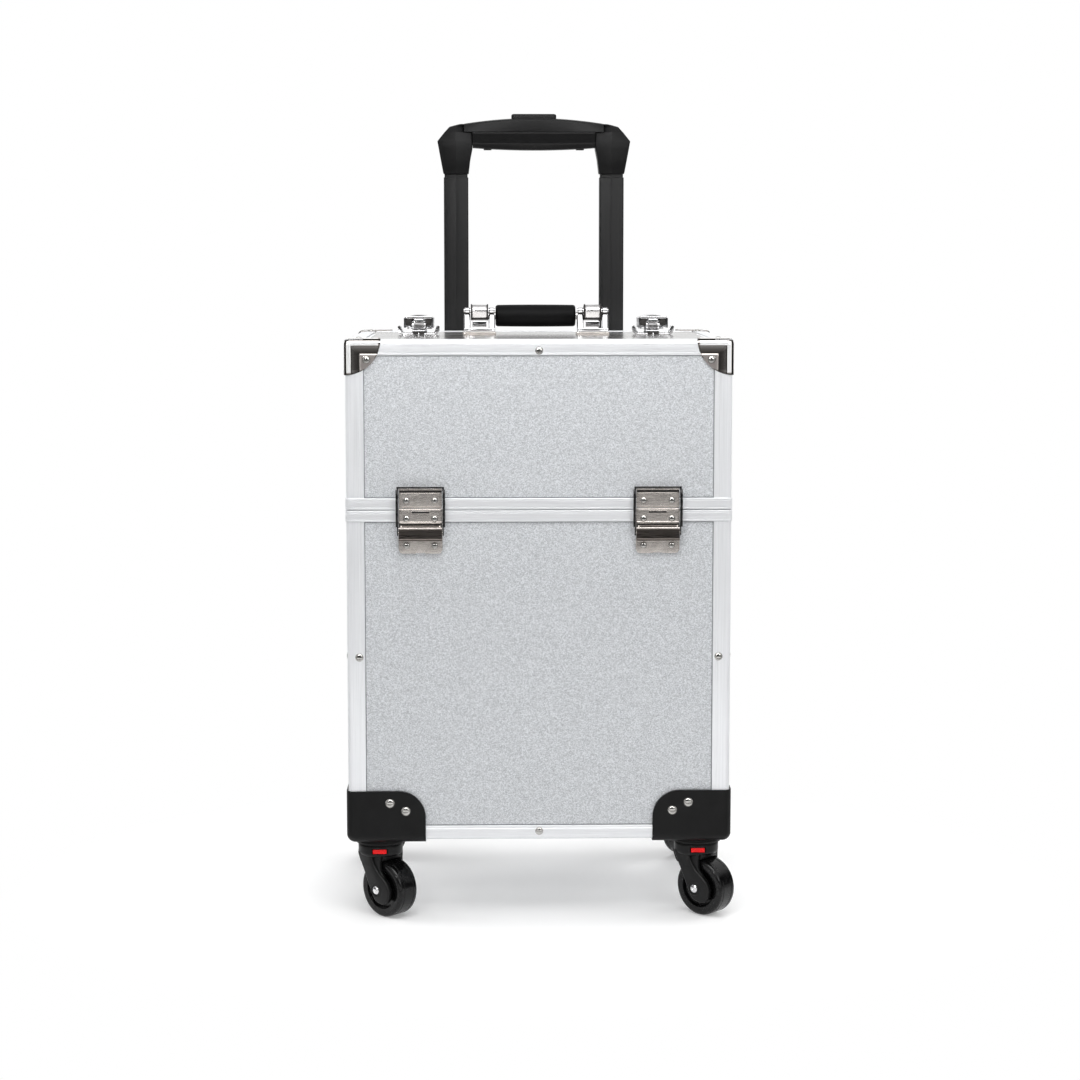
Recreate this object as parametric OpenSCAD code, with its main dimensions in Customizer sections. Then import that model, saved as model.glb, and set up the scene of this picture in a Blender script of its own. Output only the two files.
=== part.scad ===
// Rolling makeup case: a lower bin on four swivel casters, an upper case that lifts off it,
// a flap lid with a carry handle, and a telescopic trolley handle on the rear wall.
// The front faces -Y, +Z is up and the floor is at Z = 0.

/* [Case] */
// Outside width of the case
case_w = 340; // [320:1:420]
// Outside depth of the case
case_d = 250; // [236:1:320]
// Height of the lower bin, from its base to the seam
lower_h = 295; // [250:1:360]
// Height of the upper case, from the seam to the top
upper_h = 150; // [120:1:220]
// Gap between the two rims at the seam
seam_gap = 0.8; // [0.4:0.1:1.4]
// Thickness of the covered board panels
panel_t = 4; // [3:0.5:6]
// Distance of the lid's rear edge behind the front face
lid_seam_y = 169; // [160:1:185]

/* [Frame rails] */
// Width of the corner posts and of the top flange
rail_leg = 15; // [12:0.5:20]
// Wall of the aluminium rails
rail_t = 1.4; // [1:0.1:2]
// Outer radius of the rails' edges
edge_r = 4; // [3:0.5:6]
// Height of the base rail on the walls
base_leg = 13; // [10:0.5:18]
// Height of the top rail on the walls
top_leg = 14; // [10:0.5:18]
// Height of each rim beside the seam
rim_h = 10; // [8:0.5:14]
// How far the rims stand proud of the posts
rim_proud = 0.8; // [0.4:0.1:1.5]
// Height of the tongue that centres the upper case
tongue_h = 4; // [3:0.5:6]
// Width of the ledge that carries the lid and the floors
ledge_w = 6; // [4:0.5:8]

/* [Corners] */
// Length of a bottom corner guard along each wall
guard_len = 70; // [60:1:80]
// Height of a bottom corner guard
guard_h = 46.4; // [40:0.2:56]
// How far a guard stands proud of the walls
guard_t = 2.3; // [1.5:0.1:4]
// Thickness of a guard under the base
guard_floor = 3.8; // [3:0.1:6]
// Radius of a guard's inner top corner
guard_top_r = 24; // [10:1:30]
// Radius of a guard's lower edge
guard_low_r = 5.5; // [3:0.5:6]
// Reach of a steel corner protector from the case's corner
protector_r = 32; // [26:1:40]
// Wall of a corner protector
protector_t = 1.2; // [0.8:0.1:2]
// Extra height of the ridges along a protector's edges
ridge_t = 1.2; // [0.5:0.1:2]

/* [Rivets] */
// Diameter of the frame rivets
rivet_d = 7; // [5:0.5:8]
// Height of the frame rivets
rivet_h = 1.6; // [1:0.1:2]
// Diameter of the guard rivets
guard_rivet_d = 8; // [6:0.5:9]
// Diameter of the latch rivets
latch_rivet_d = 5; // [3:0.5:6]
// Height of the latch rivets
latch_rivet_h = 0.9; // [0.5:0.1:1]

/* [Casters] */
// Diameter of a wheel
wheel_d = 51; // [45:1:60]
// Width of a wheel
wheel_w = 20; // [16:1:22]
// Distance of a swivel axis inside the side wall
caster_in_x = 27; // [24:0.5:34]
// Distance of a swivel axis inside the front or rear wall
caster_in_y = 29; // [24:0.5:36]
// Offset of the axle from the swivel axis
trail = 11.5; // [8:0.5:16]
// Height of the fork's crown top above the axle
fork_rise = 40.5; // [38:0.5:46]
// Thickness of the fork's crown
crown_t = 9; // [8:0.5:10]
// Diameter of the fork's crown
crown_d = 40; // [36:0.5:44]
// Thickness of a fork leg
leg_t = 5.5; // [4:0.5:7]
// Radius of the boss around the axle
boss_r = 13; // [9:0.5:16]
// Diameter of the collar under a guard
collar_d = 45.5; // [42:0.5:50]
// Thickness of the collar
collar_t = 4.9; // [4:0.1:7]
// Radius of the swivel stem
stem_r = 6; // [5:0.5:8]
// Radius of a wheel's axle
axle_r = 3; // [2.5:0.1:4]
// Width of the release button
release_w = 12.5; // [8:0.5:14]
// Height of the release button
release_h = 4; // [3:0.2:5]
// Travel of the release button
release_travel = 1.5; // [1:0.1:2]
// Swivel angle of the two front casters as they stand
front_swivel = -44; // [-180:1:180]
// Swivel angle of the rear right caster as it stands
rear_swivel = 44; // [-180:1:180]

/* [Front latches] */
// Distance of a front latch from the middle
latch_x = 104.5; // [90:0.5:120]
// Width of a latch plate
latch_w = 38.6; // [34:0.2:44]
// Wall of the latch plates
latch_t = 1.2; // [1:0.1:1.6]
// Drop of the latch base below the seam
latch_drop = 38.4; // [36:0.2:46]
// Drop of the lever's pivot below the seam
lever_drop = 14.5; // [12:0.5:17]
// Radius of the lever's pivot pin
latch_pin_r = 1.2; // [1:0.1:1.4]
// Radius of the lever's barrel
barrel_r = 5.2; // [4:0.2:6]
// Drop of the barrel's centre below the lever's pivot
barrel_drop = 8; // [7.6:0.2:10]
// Drop of the bail's pivot below the lever's pivot
bail_drop = 5.5; // [5:0.5:6.5]
// Width of a bail's arms
bail_t = 2.2; // [1.6:0.2:3]
// Reach of the bail above the seam
bail_rise = 21.2; // [20:0.2:28]
// Height of the catch above the seam
catch_rise = 18; // [14:0.5:18.5]
// Distance of the lever's pivot in front of the latch base
lever_off = 2.3; // [2.1:0.1:2.6]
// Reach of the lever's thumb lip in front of its seat
lip_reach = 7.7; // [7.5:0.1:9]

/* [Lid and top latches] */
// Drop of the lid and deck below the top flange
lid_drop = 0.7; // [0.3:0.1:1.5]
// Running gap around the lid
lid_gap = 0.8; // [0.4:0.1:1.5]
// Width of the lid's edging
edging_w = 3; // [2:0.5:5]
// Radius of the lid's hinge barrel
hinge_r = 2.1; // [1.9:0.1:2.3]
// Radius of the lid's hinge pin
hinge_pin_r = 1; // [0.8:0.1:1.2]
// Length of the hinge lugs at each end
hinge_lug = 7.5; // [5:0.5:12]
// Distance of a top latch from the middle
top_latch_x = 110; // [96:0.5:125]
// Width of a top latch's lever
top_lever_w = 28; // [26:0.5:30]
// Height of a top latch above the lid
top_latch_h = 18.4; // [17:0.2:22]
// Crown of a top latch's lever
top_lever_crown = 3; // [1:0.5:4]
// Width of the post inside a top latch
top_post_w = 12; // [9:0.5:14]
// Radius of a top latch's pivot pin
top_pin_r = 1.5; // [1:0.1:2]
// Height of a top latch's pivot above the lid
top_pivot_h = 9.5; // [8.5:0.5:11]
// Distance of a top latch's pivot in front of the lid seam
top_pivot_y = 16; // [14:0.5:22]
// Distance of a top latch's hook behind the lid seam
hook_y = 9; // [8:0.5:12]

/* [Carry handle] */
// Distance of a handle bracket from the middle
bracket_x = 53; // [50:0.5:60]
// Width of a bracket
bracket_w = 31; // [28:0.5:36]
// Depth of a bracket
bracket_d = 26; // [22:0.5:30]
// Distance of the handle's pivot behind the front face
pivot_y = 150; // [140:0.5:154]
// Height of the handle's pivot above the lid
pivot_h = 22.5; // [18:0.5:28]
// Radius of a bracket's ears around the pivot
ear_r = 5; // [4:0.5:7]
// Thickness of a bracket's ears
ear_t = 6.3; // [3:0.1:6.8]
// Height of the bar across a bracket's front
bracket_bar_h = 5.5; // [3:0.5:8]
// Radius of the handle's pivot pins
pivot_r = 2; // [1.5:0.1:3]
// Width of a handle arm
arm_w = 15.8; // [10:0.2:16]
// Reach of the folded grip behind the pivot
grip_back = 30; // [28:0.5:36]
// Drop of the folded grip below the pivot
grip_drop = 5.5; // [2:0.5:8]
// Length of the grip
grip_len = 76; // [60:1:80]
// Radius of the grip
grip_r = 10.5; // [8:0.5:11]
// Radius of the rod inside the grip
rod_r = 3.6; // [3:0.2:4.2]

/* [Trolley handle] */
// Distance of a trolley tube from the middle
tube_x = 76.3; // [66:0.1:84]
// Distance of the tubes' axes behind the rear wall
tube_back = 15; // [14:0.5:20]
// Width of an inner tube
tube_w = 24; // [20:0.5:26]
// Depth of an inner tube
tube_d = 14; // [12:0.5:16]
// Depth of the crease down the front of an inner tube
tube_crease = 2; // [0.5:0.5:3]
// Wall of the trolley tubes
tube_t = 1.4; // [1:0.1:2]
// Clearance between neighbouring tubes
tube_gap = 0.4; // [0.3:0.05:0.6]
// Length of the outer tubes
outer_len = 286; // [240:1:330]
// Length of an inner tube
inner_len = 440; // [400:1:480]
// Height of the inner tubes' lower ends above the outer tubes' as they stand
inner_lift = 156; // [150:1:190]
// Wall of the clamps that hold the outer tubes
clamp_t = 2; // [1.5:0.5:3]
// Height of the clamps
clamp_h = 22; // [16:1:30]
// Least distance of the upper clamps below the rim
clamp_drop = 5.6; // [4:0.2:12]
// Least distance of the upper clamps below the outer tubes' ends
clamp_in = 12; // [6:0.5:20]
// Depth of the grip from front to rear
handle_d = 26; // [22:0.5:28]
// Height of the end sockets
socket_h = 48.4; // [44:0.2:56]
// Width of an end socket at its widest
socket_w = 34.3; // [30:0.1:40]
// Depth of the tube in its socket
socket_grip = 3; // [2:0.5:6]
// Height of the line between the grip's two shells above the sockets' lower ends
shell_split = 40; // [36:0.5:42]
// Height of the grip's top at its middle above the sockets' lower ends
shell_top = 54; // [51:0.5:58]
// Height of the grip's underside at its middle above the sockets' lower ends
shell_low = 23; // [18:0.5:28]
// Width of the trolley button
button_w = 44; // [36:0.5:52]
// Depth of the trolley button
button_d = 12; // [8:0.5:14]
// Travel of the trolley button
button_travel = 4; // [2:0.5:4.5]
// Height of the trolley button above the grip
button_h = 5; // [4.8:0.1:7]

/* [Clearances] */
// Gap between a moving piece and the piece it rests on
seat_gap = 0.3; // [0.2:0.05:0.5]
// Radial gap of a pin that turns in its bore
pin_gap = 0.05; // [0.02:0.01:0.1]
// Gap around a sliding button
button_gap = 0.25; // [0.2:0.05:0.4]

/* [Hidden] */
$fn = 48;
eps = 0.01;
cut = 50;

// Reach of the whole part in front of the front wall and behind the rear wall
front_reach = rim_proud + latch_t + seat_gap + lip_reach;
outer_d = tube_d + 4 * (tube_gap + tube_t);
outer_w = tube_w + 4 * (tube_gap + tube_t);
rear_reach = tube_back + outer_d / 2 + clamp_t;

// Planes of the case
y_front = -(case_d + rear_reach - front_reach) / 2;
y_rear = y_front + case_d;
y_mid = (y_front + y_rear) / 2;
wheel_r = wheel_d / 2;
z_crown = wheel_r + fork_rise;
z_collar = z_crown + seat_gap;
z_guard = z_collar + collar_t;
z_base = z_guard + guard_floor;
z_seam = z_base + lower_h;
z_top = z_seam + upper_h;
wall_in = rail_t + panel_t;

// Rims and rivet places
lip_h = 4;
tongue_set = 1.2;
rivet_edge = 5;
mid_rivet_h = 162;
upper_rivet_in = 33;
upper_rivet_down = 10.1;
lower_rivet_in = 18.8;
lower_rivet_down = 17.3;
latch_rivet_in = 5.3;
latch_rivet_up = 6;
latch_rivet_seam = 8;
protector_rivet = 18;
flange_rivet = 21;
flange_rivet_edge = 0.5;

// Levels in the lower bin and the upper case
z_lower_rim = z_seam - seam_gap / 2;
z_upper_rim = z_seam + seam_gap / 2;
z_web = z_lower_rim + tongue_h + seat_gap;
z_lid = z_top - lid_drop;
lid_t = panel_t;
z_ledge = z_lid - lid_t - seat_gap;
y_seam = y_front + lid_seam_y;
y_hinge = y_front + rail_leg + lid_gap / 2 + hinge_r;
z_hinge = z_lid - hinge_r;

// Front latch places, measured outwards from the front wall and up from the seam
plate_v = rim_proud + latch_t;
lever_v = plate_v + lever_off;
lever_z = -lever_drop;
knuckle_r = lever_v - plate_v - seat_gap;
barrel_z = lever_z - barrel_drop;
bail_off = 0.7;
bail_v = lever_v + bail_off;
bail_z = lever_z - bail_drop;
latch_ear_r = 2.5;
latch_ear_t = 1.5;
lip_half = 8;
lip_t = 1.4;
lip_up = 0.3;
bail_gap = 0.9;
bail_clear = 0.5;
bail_back = plate_v + latch_rivet_h + bail_clear;
bail_pin_r = 1.6;
bail_eye = 1;
bail_arm_d = 3;
bail_bar_h = 2.2;
bail_bar_d = 1.6;
bail_x = latch_w / 2 + bail_gap;
catch_side = 1;
catch_low = 0.6;
catch_lip = 1.5;

// Top latch places
top_pivot = [y_seam - top_pivot_y, z_lid + top_pivot_h];
top_shell = 1.4;
top_crown_r = (pow(top_lever_w / 2, 2) + pow(top_lever_crown, 2)) / (2 * top_lever_crown);
lever_front = 5;
lever_side = 2.4;
cheek_drop = 3;
hook_drop = 2;
base_front = 8;
base_rear = 10;
base_t = 1.4;
post_half = 6;
post_over = 1.4;
rib_d = 0.8;
rib_h = 1.2;
rib_first = 2.6;
rib_step = 2.8;
wing_gap = 0.8;
wing_t = 1;
wing_d = 12;
wing_out = 4.6;
wing_in = 3.2;
wing_h = 7;
wing_tip = 7.8;
catch_foot_half = 12;
catch_foot_gap = 1.5;
catch_foot_t = 1.2;
catch_post_half = 7;
catch_post_gap = 3;
catch_post_h = 9;
catch_hook_gap = 1;
deck_bar_front = 8;
deck_bar_rear = 12;

// Carry handle places
handle_pivot = [y_front + pivot_y, z_lid + pivot_h];
grip_axis = [handle_pivot[0] + grip_back, handle_pivot[1] - grip_drop];
bracket_t = 1.6;
ear_in = arm_w / 2 + seat_gap;
ear_foot = 11;
pin_head = 1.25;
pin_head_h = 1.4;
knuckle_wall = 2.6;
grip_end_r = 2.5;

// Trolley places
y_tube = y_rear + tube_back;
foot_up = 5;
z_foot = z_base + foot_up;
clamp_floor = 4;
tube_step = 2;
z_inner = z_foot + inner_lift;
z_socket = z_inner + inner_len - socket_grip;
socket_out = 18;
socket_in = socket_w - socket_out;
socket_lip = 0.3;
socket_widest = 31.7;
chamfer_x = 11.2;
chamfer_z = 3.2;
shoulder = 1.3;
shell_in = 7.9;
shell_step = 1;
grip_sag = 2.3;
grip_side_r = 17.5;
pocket_h = 8;
button_crown_r = 260;
z_split = z_socket + shell_split;
shell_x = tube_x - shell_in;
button_z = z_socket + shell_top;
pocket_floor = button_z - pocket_h;

// Casters: name, place and swivel angle
caster_x = case_w / 2 - caster_in_x;
caster_y = case_d / 2 - caster_in_y;
FRONT_LEFT = [-caster_x, y_mid - caster_y, front_swivel];
FRONT_RIGHT = [caster_x, y_mid - caster_y, front_swivel];
REAR_LEFT = [-caster_x, y_mid + caster_y, 180 - rear_swivel];
REAR_RIGHT = [caster_x, y_mid + caster_y, rear_swivel];
CASTERS = [FRONT_LEFT, FRONT_RIGHT, REAR_LEFT, REAR_RIGHT];
wheel_side = 1.5;
leg_in = wheel_w / 2 + wheel_side;
leg_out = leg_in + leg_t;
leg_back = 9;
leg_front = 12;
leg_down = 2;
crown_floor = 1.2;
release_turn = -46;
release_drop = 4;
release_pocket = 4.5;
release_proud = 0.4;
release_z = z_crown - release_drop;
axle_head = 0.75;
axle_head_h = 1.6;
tread_r = 3.5;
dish = 3;
dish_r = 10;
dish_w = 8.5;
groove_in = 4.6;
groove_w = 1.2;
groove_d = 0.8;

silver_panel = [0.78, 0.79, 0.81];
aluminium = [0.9, 0.91, 0.93];
nickel = [0.5, 0.48, 0.46];
chrome = [0.8, 0.8, 0.82];
black = [0.09, 0.09, 0.1];
red = [0.85, 0.08, 0.06];

// Extrudes an outline drawn in Y and Z along X
module along_x(length) {
    rotate([90, 0, 90])
        linear_extrude(length, center = true) children();
}

// Extrudes an outline drawn in X and Z along Y
module along_y(length) {
    rotate([90, 0, 0])
        linear_extrude(length, center = true) children();
}

// Box from one corner to the other
module box(low, high) {
    translate(low)
        cube(high - low);
}

// Rectangle centred on the origin with round corners
module round_rect(w, d, r) {
    square([w - 2 * r, d], center = true);
    square([w, d - 2 * r], center = true);
    for (x = [-1, 1], y = [-1, 1])
        translate([x * (w / 2 - r), y * (d / 2 - r)])
            circle(r);
}

// Keeps a square's corner round: the corner is at the origin and the square grows from it
module corner_cut(r) {
    difference() {
        translate([-1, -1])
            square(r + 1);
        translate([r, r])
            circle(r);
    }
}

// Angle rail with its rounded corner at the origin and a leg along each axis
module angle_rail(leg_x, leg_y) {
    translate([edge_r, 0])
        square([leg_x - edge_r, rail_t]);
    translate([0, edge_r])
        square([rail_t, leg_y - edge_r]);
    intersection() {
        square(edge_r);
        translate([edge_r, edge_r])
            difference() {
                circle(edge_r);
                circle(edge_r - rail_t);
            }
    }
}

// Places a child on each wall, with the wall's face on the XZ plane and +Y going into the case
module on_walls() {
    for (turn = [0 : 90 : 270]) {
        on_side = turn % 180 != 0;
        $run = on_side ? case_d : case_w;
        translate([0, y_mid, 0])
            rotate(turn)
                translate([0, -(on_side ? case_w : case_d) / 2, 0])
                    children();
    }
}

// Places a child at each corner of the case, with +X and +Y going into the case
module on_corners() {
    for (x = [0, 1], y = [0, 1])
        translate([0, y_mid, 0])
            mirror([x, 0, 0])
                mirror([0, y, 0])
                    translate([-case_w / 2, -case_d / 2, 0])
                        children();
}

// Band round the whole case between two depths inside its faces
module band(outside, inside, z_low, z_high) {
    translate([0, y_mid, z_low])
        linear_extrude(z_high - z_low)
            difference() {
                round_rect(case_w - 2 * outside, case_d - 2 * outside, max(edge_r - outside, 0.5));
                round_rect(case_w - 2 * inside, case_d - 2 * inside, max(edge_r - inside, 0.5));
            }
}

// Rivet head that stands on the XY plane
module dome(d, h) {
    ball = (d * d / 4 + h * h) / (2 * h);
    rotate_extrude()
        intersection() {
            translate([0, h - ball])
                circle(ball);
            square([d / 2, h]);
        }
}

// Rivet head that stands on a wall, pointing out of it
module wall_dome(d, h) {
    rotate([90, 0, 0])
        dome(d, h);
}

// Wall panels of one case, between two levels
module front_panel(z_low, z_high) {
    box([edge_r - case_w / 2, y_front + rail_t, z_low],
        [case_w / 2 - edge_r, y_front + wall_in, z_high]);
}

module rear_panel(z_low, z_high) {
    box([edge_r - case_w / 2, y_rear - wall_in, z_low],
        [case_w / 2 - edge_r, y_rear - rail_t, z_high]);
}

module side_panels(z_low, z_high) {
    for (side = [0, 1])
        mirror([side, 0, 0])
            box([case_w / 2 - wall_in, y_front + wall_in, z_low],
                [case_w / 2 - rail_t, y_rear - wall_in, z_high]);
}

module floor_panel(z_low) {
    box([wall_in - case_w / 2, y_front + wall_in, z_low],
        [case_w / 2 - wall_in, y_rear - wall_in, z_low + panel_t]);
}

module posts(z_low, z_high) {
    on_corners()
        translate([0, 0, z_low])
            linear_extrude(z_high - z_low)
                angle_rail(rail_leg, rail_leg);
}

// Lower bin
lower_panel_low = z_base + edge_r;
lower_panel_high = z_lower_rim - rail_t;

module lower_front_panel() {
    color(silver_panel)
        front_panel(lower_panel_low, lower_panel_high);
}

module lower_rear_panel() {
    color(silver_panel)
        rear_panel(lower_panel_low, lower_panel_high);
}

module lower_side_panels() {
    color(silver_panel)
        side_panels(lower_panel_low, lower_panel_high);
}

module lower_floor_panel() {
    color(silver_panel)
        floor_panel(z_base + rail_t);
}

module lower_posts() {
    color(aluminium)
        posts(z_base, z_lower_rim - rim_h);
}

module lower_base_rails() {
    color(aluminium)
        on_walls()
            translate([0, 0, z_base])
                along_x($run - 2 * rail_leg)
                    angle_rail(rail_leg, base_leg);
}

// Channel over the panels' upper edges, with a tongue that the upper case drops over
module lower_rim() {
    lip_low = z_lower_rim - rim_h - lip_h;
    tongue_in = rail_t + tongue_set;
    color(aluminium) {
        band(-rim_proud, rail_t, z_lower_rim - rim_h, z_lower_rim);
        band(rail_t - eps, wall_in + rail_t, z_lower_rim - rail_t, z_lower_rim);
        band(wall_in, wall_in + rail_t, lip_low, z_lower_rim - rail_t + eps);
        band(tongue_in, tongue_in + rail_t, z_lower_rim - eps, z_lower_rim + tongue_h);
    }
}

// Outline of a guard on a wall: +X runs along the wall from the guard's outer edge
module guard_side() {
    reach = guard_len + guard_t;
    difference() {
        square([reach, guard_h]);
        corner_cut(guard_low_r);
        translate([reach, guard_h])
            rotate(180)
                corner_cut(guard_top_r);
    }
}

// Outline of a guard from above, with its outer corner rounded like the post's
module guard_plan() {
    difference() {
        square(guard_len + guard_t);
        corner_cut(edge_r + guard_t);
    }
}

// Three-sided plastic guard over each bottom corner
module corner_guards() {
    color(black)
        on_corners()
            translate([-guard_t, -guard_t, z_guard])
                difference() {
                    intersection() {
                        linear_extrude(guard_h)
                            guard_plan();
                        rotate([90, 0, 0])
                            translate([0, 0, -guard_len - guard_t])
                                linear_extrude(guard_len + guard_t)
                                    guard_side();
                        rotate([90, 0, 90])
                            linear_extrude(guard_len + guard_t)
                                guard_side();
                    }
                    translate([guard_t, guard_t, guard_floor])
                        cube([guard_len + cut, guard_len + cut, guard_h]);
                }
}

// Collar under each guard with the stem that the fork turns on
module caster_collars() {
    stem_len = crown_t - crown_floor - seat_gap;
    color(black)
        for (c = CASTERS)
            translate([c[0], c[1], z_collar]) {
                cylinder(h = collar_t, d = collar_d);
                translate([0, 0, -stem_len])
                    cylinder(h = stem_len + eps, r = stem_r);
            }
}

// Rivets of the rails, the guards and the latch bases
module lower_rivets() {
    post_rivet = rail_leg - rivet_edge;
    upper_rivet = guard_len - upper_rivet_in;
    lower_rivet = guard_len - lower_rivet_in;
    z_guard_top = z_guard + guard_h;
    latch_rivet_x = latch_w / 2 - latch_rivet_in;
    color(chrome) {
        on_walls() {
            translate([0, 0, z_base + base_leg / 2])
                wall_dome(rivet_d, rivet_h);
            for (side = [-1, 1]) {
                translate([side * ($run / 2 - post_rivet), 0, z_base + mid_rivet_h])
                    wall_dome(rivet_d, rivet_h);
                translate([side * ($run / 2 - upper_rivet), -guard_t, z_guard_top - upper_rivet_down])
                    wall_dome(guard_rivet_d, rivet_h);
                translate([side * ($run / 2 - lower_rivet), -guard_t, z_guard_top - lower_rivet_down])
                    wall_dome(guard_rivet_d, rivet_h);
            }
        }
        on_latches()
            for (side = [-1, 1], z = [latch_rivet_up - latch_drop, -latch_rivet_seam])
                translate([side * latch_rivet_x, -plate_v, z])
                    wall_dome(latch_rivet_d, latch_rivet_h);
    }
}

// Places a child at each front latch, on the front wall at the seam
module on_latch(side) {
    translate([side * latch_x, y_front, z_seam])
        children();
}

module on_latches() {
    for (side = [-1, 1])
        on_latch(side)
            children();
}

// Extrudes a latch outline, drawn outwards from the wall and up from the seam, between two places
module latch_slice(from, to) {
    translate([(from + to) / 2, 0, 0])
        along_x(to - from)
            mirror([1, 0])
                children();
}

// Riveted base with the ears and the pin that carry the lever
module latch_bases() {
    ear_out = latch_w / 2 - seat_gap;
    color(nickel)
        on_latches() {
            latch_slice(-latch_w / 2, latch_w / 2) {
                translate([rim_proud, -latch_drop])
                    square([latch_t, latch_drop - seam_gap / 2]);
                translate([-rail_t, -latch_drop])
                    square([rail_t + rim_proud + eps, latch_drop - seam_gap / 2 - rim_h - seat_gap]);
            }
            for (side = [0, 1])
                mirror([side, 0, 0])
                    latch_slice(ear_out - latch_ear_t, ear_out) {
                        translate([lever_v, lever_z])
                            circle(latch_ear_r);
                        translate([plate_v - eps, lever_z - latch_ear_r])
                            square([lever_v - plate_v + eps, 2 * latch_ear_r]);
                    }
            latch_slice(-ear_out, ear_out)
                translate([lever_v, lever_z])
                    circle(latch_pin_r);
        }
}

// Lever with its barrel, thumb lip and the stubs that the bail turns on
module latch_lever(side) {
    inner = latch_w / 2 - seat_gap - latch_ear_t - seat_gap;
    half = latch_w / 2;
    face = plate_v + seat_gap;
    color(nickel)
        on_latch(side)
            difference() {
                union() {
                    latch_slice(-half, half)
                        intersection() {
                            translate([lever_v, barrel_z])
                                circle(barrel_r);
                            translate([face, barrel_z - cut])
                                square([cut, 2 * cut]);
                        }
                    latch_slice(-inner, inner) {
                        translate([lever_v, lever_z])
                            circle(knuckle_r);
                        translate([face, barrel_z])
                            square([2 * knuckle_r, barrel_drop]);
                    }
                    latch_slice(-lip_half, lip_half)
                        translate([lever_v, barrel_z - barrel_r + lip_up])
                            square([front_reach - lever_v, lip_t]);
                    latch_slice(-bail_x - bail_t, bail_x + bail_t)
                        translate([bail_v, bail_z])
                            circle(bail_pin_r);
                }
                latch_slice(-cut, cut)
                    translate([lever_v, lever_z])
                        circle(latch_pin_r + pin_gap);
            }
}

module latch_lever_left() {
    latch_lever(-1);
}

module latch_lever_right() {
    latch_lever(1);
}

// Bail of two arms and a bar, which draws the upper case down by its catch
module latch_bail(side) {
    color(black)
        on_latch(side) {
            for (hand = [0, 1])
                mirror([hand, 0, 0])
                    difference() {
                        latch_slice(bail_x, bail_x + bail_t) {
                            translate([bail_v, bail_z])
                                circle(bail_pin_r + bail_eye);
                            translate([bail_back, bail_z])
                                square([bail_arm_d, bail_rise - bail_z]);
                        }
                        latch_slice(bail_x - cut, bail_x + bail_t + cut)
                            translate([bail_v, bail_z])
                                circle(bail_pin_r + pin_gap);
                    }
            latch_slice(-bail_x - eps, bail_x + eps)
                translate([bail_back, bail_rise - bail_bar_h])
                    square([bail_bar_d, bail_bar_h]);
        }
}

module latch_bail_left() {
    latch_bail(-1);
}

module latch_bail_right() {
    latch_bail(1);
}

// Outline of a trolley tube; the inner tube has a crease down its front
module tube_outline(w, d, crease) {
    polygon([
        [-w / 2, d / 2], [-w / 2, crease - d / 2], [0, -d / 2], [w / 2, crease - d / 2], [w / 2, d / 2]
    ]);
}

// Pair of tubes between two levels
module tube_pair(w, d, crease, z_low, z_high) {
    for (side = [-1, 1])
        translate([side * tube_x, y_tube, z_low])
            linear_extrude(z_high - z_low)
                difference() {
                    tube_outline(w, d, crease);
                    tube_outline(w - 2 * tube_t, d - 2 * tube_t, crease);
                }
}

middle_w = tube_w + 2 * (tube_gap + tube_t);
middle_d = tube_d + 2 * (tube_gap + tube_t);

module trolley_outer_tubes() {
    color(black)
        tube_pair(outer_w, outer_d, 0, z_foot, z_foot + outer_len);
}

module trolley_middle_tubes() {
    color(black)
        tube_pair(middle_w, middle_d, 0, z_foot + seat_gap, z_foot + outer_len - tube_step);
}

module trolley_inner_tubes() {
    color(black)
        tube_pair(tube_w, tube_d, tube_crease, z_inner, z_inner + inner_len);
}

// Clamps that hold the outer tubes on the rear wall, the lower ones closed under the tubes
module trolley_clamps() {
    low = z_foot - clamp_floor;
    high = min(z_foot + outer_len - clamp_in, z_lower_rim - rim_h - clamp_drop) - clamp_h;
    wide = outer_w / 2 + clamp_t;
    color(black)
        for (side = [-1, 1], z = [low, high])
            translate([side * tube_x, 0, 0])
                difference() {
                    union() {
                        box([-wide, y_rear, z], [wide, y_rear + rear_reach, z + clamp_h]);
                        if (z == high)
                            box([-wide, y_rear - rail_t, z], [wide, y_rear + eps, z + clamp_h]);
                    }
                    translate([0, y_tube, max(z, z_foot)])
                        linear_extrude(cut)
                            square([outer_w, outer_d], center = true);
                }
}

// Outline of one end socket: +X points away from the middle, the tube's axis is at 0
module socket_outline() {
    polygon([
        [-tube_w / 2 - socket_lip, 0], [tube_w / 2 + socket_lip, 0],
        [socket_out, socket_widest], [socket_out - chamfer_x, socket_h - chamfer_z],
        [0, socket_h - shoulder],
        [-shell_in, socket_h], [-shell_in, shell_split],
        [-socket_in, shell_split], [-socket_in, shell_low + shell_step]
    ]);
}

// Sockets that join the grip to the inner tubes
module grip_sockets() {
    color(black)
        for (side = [0, 1])
            mirror([side, 0, 0])
                translate([tube_x, y_tube, z_socket])
                    difference() {
                        along_y(handle_d)
                            socket_outline();
                        translate([0, 0, -1])
                            linear_extrude(socket_grip + 1)
                                tube_outline(tube_w, tube_d, tube_crease);
                    }
}

// Arched bar between the sockets, rounded at its front and rear edges
module grip_bar() {
    sag_top = shell_top - socket_h;
    top_r = (shell_x * shell_x + sag_top * sag_top) / (2 * sag_top);
    low_x = tube_x - socket_in;
    low_r = (low_x * low_x + grip_sag * grip_sag) / (2 * grip_sag);
    translate([0, y_tube, z_socket])
        intersection() {
            along_y(handle_d)
                intersection() {
                    translate([0, shell_top - top_r])
                        circle(top_r);
                    translate([0, shell_low + low_r])
                        circle(low_r);
                }
            along_x(2 * tube_x)
                translate([0, (shell_top + shell_low) / 2])
                    circle(grip_side_r);
        }
}

module grip_lower_shell() {
    reach = tube_x - socket_in;
    color(black)
        intersection() {
            grip_bar();
            box([-reach, y_tube - cut, z_socket], [reach, y_tube + cut, z_split]);
        }
}

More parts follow.
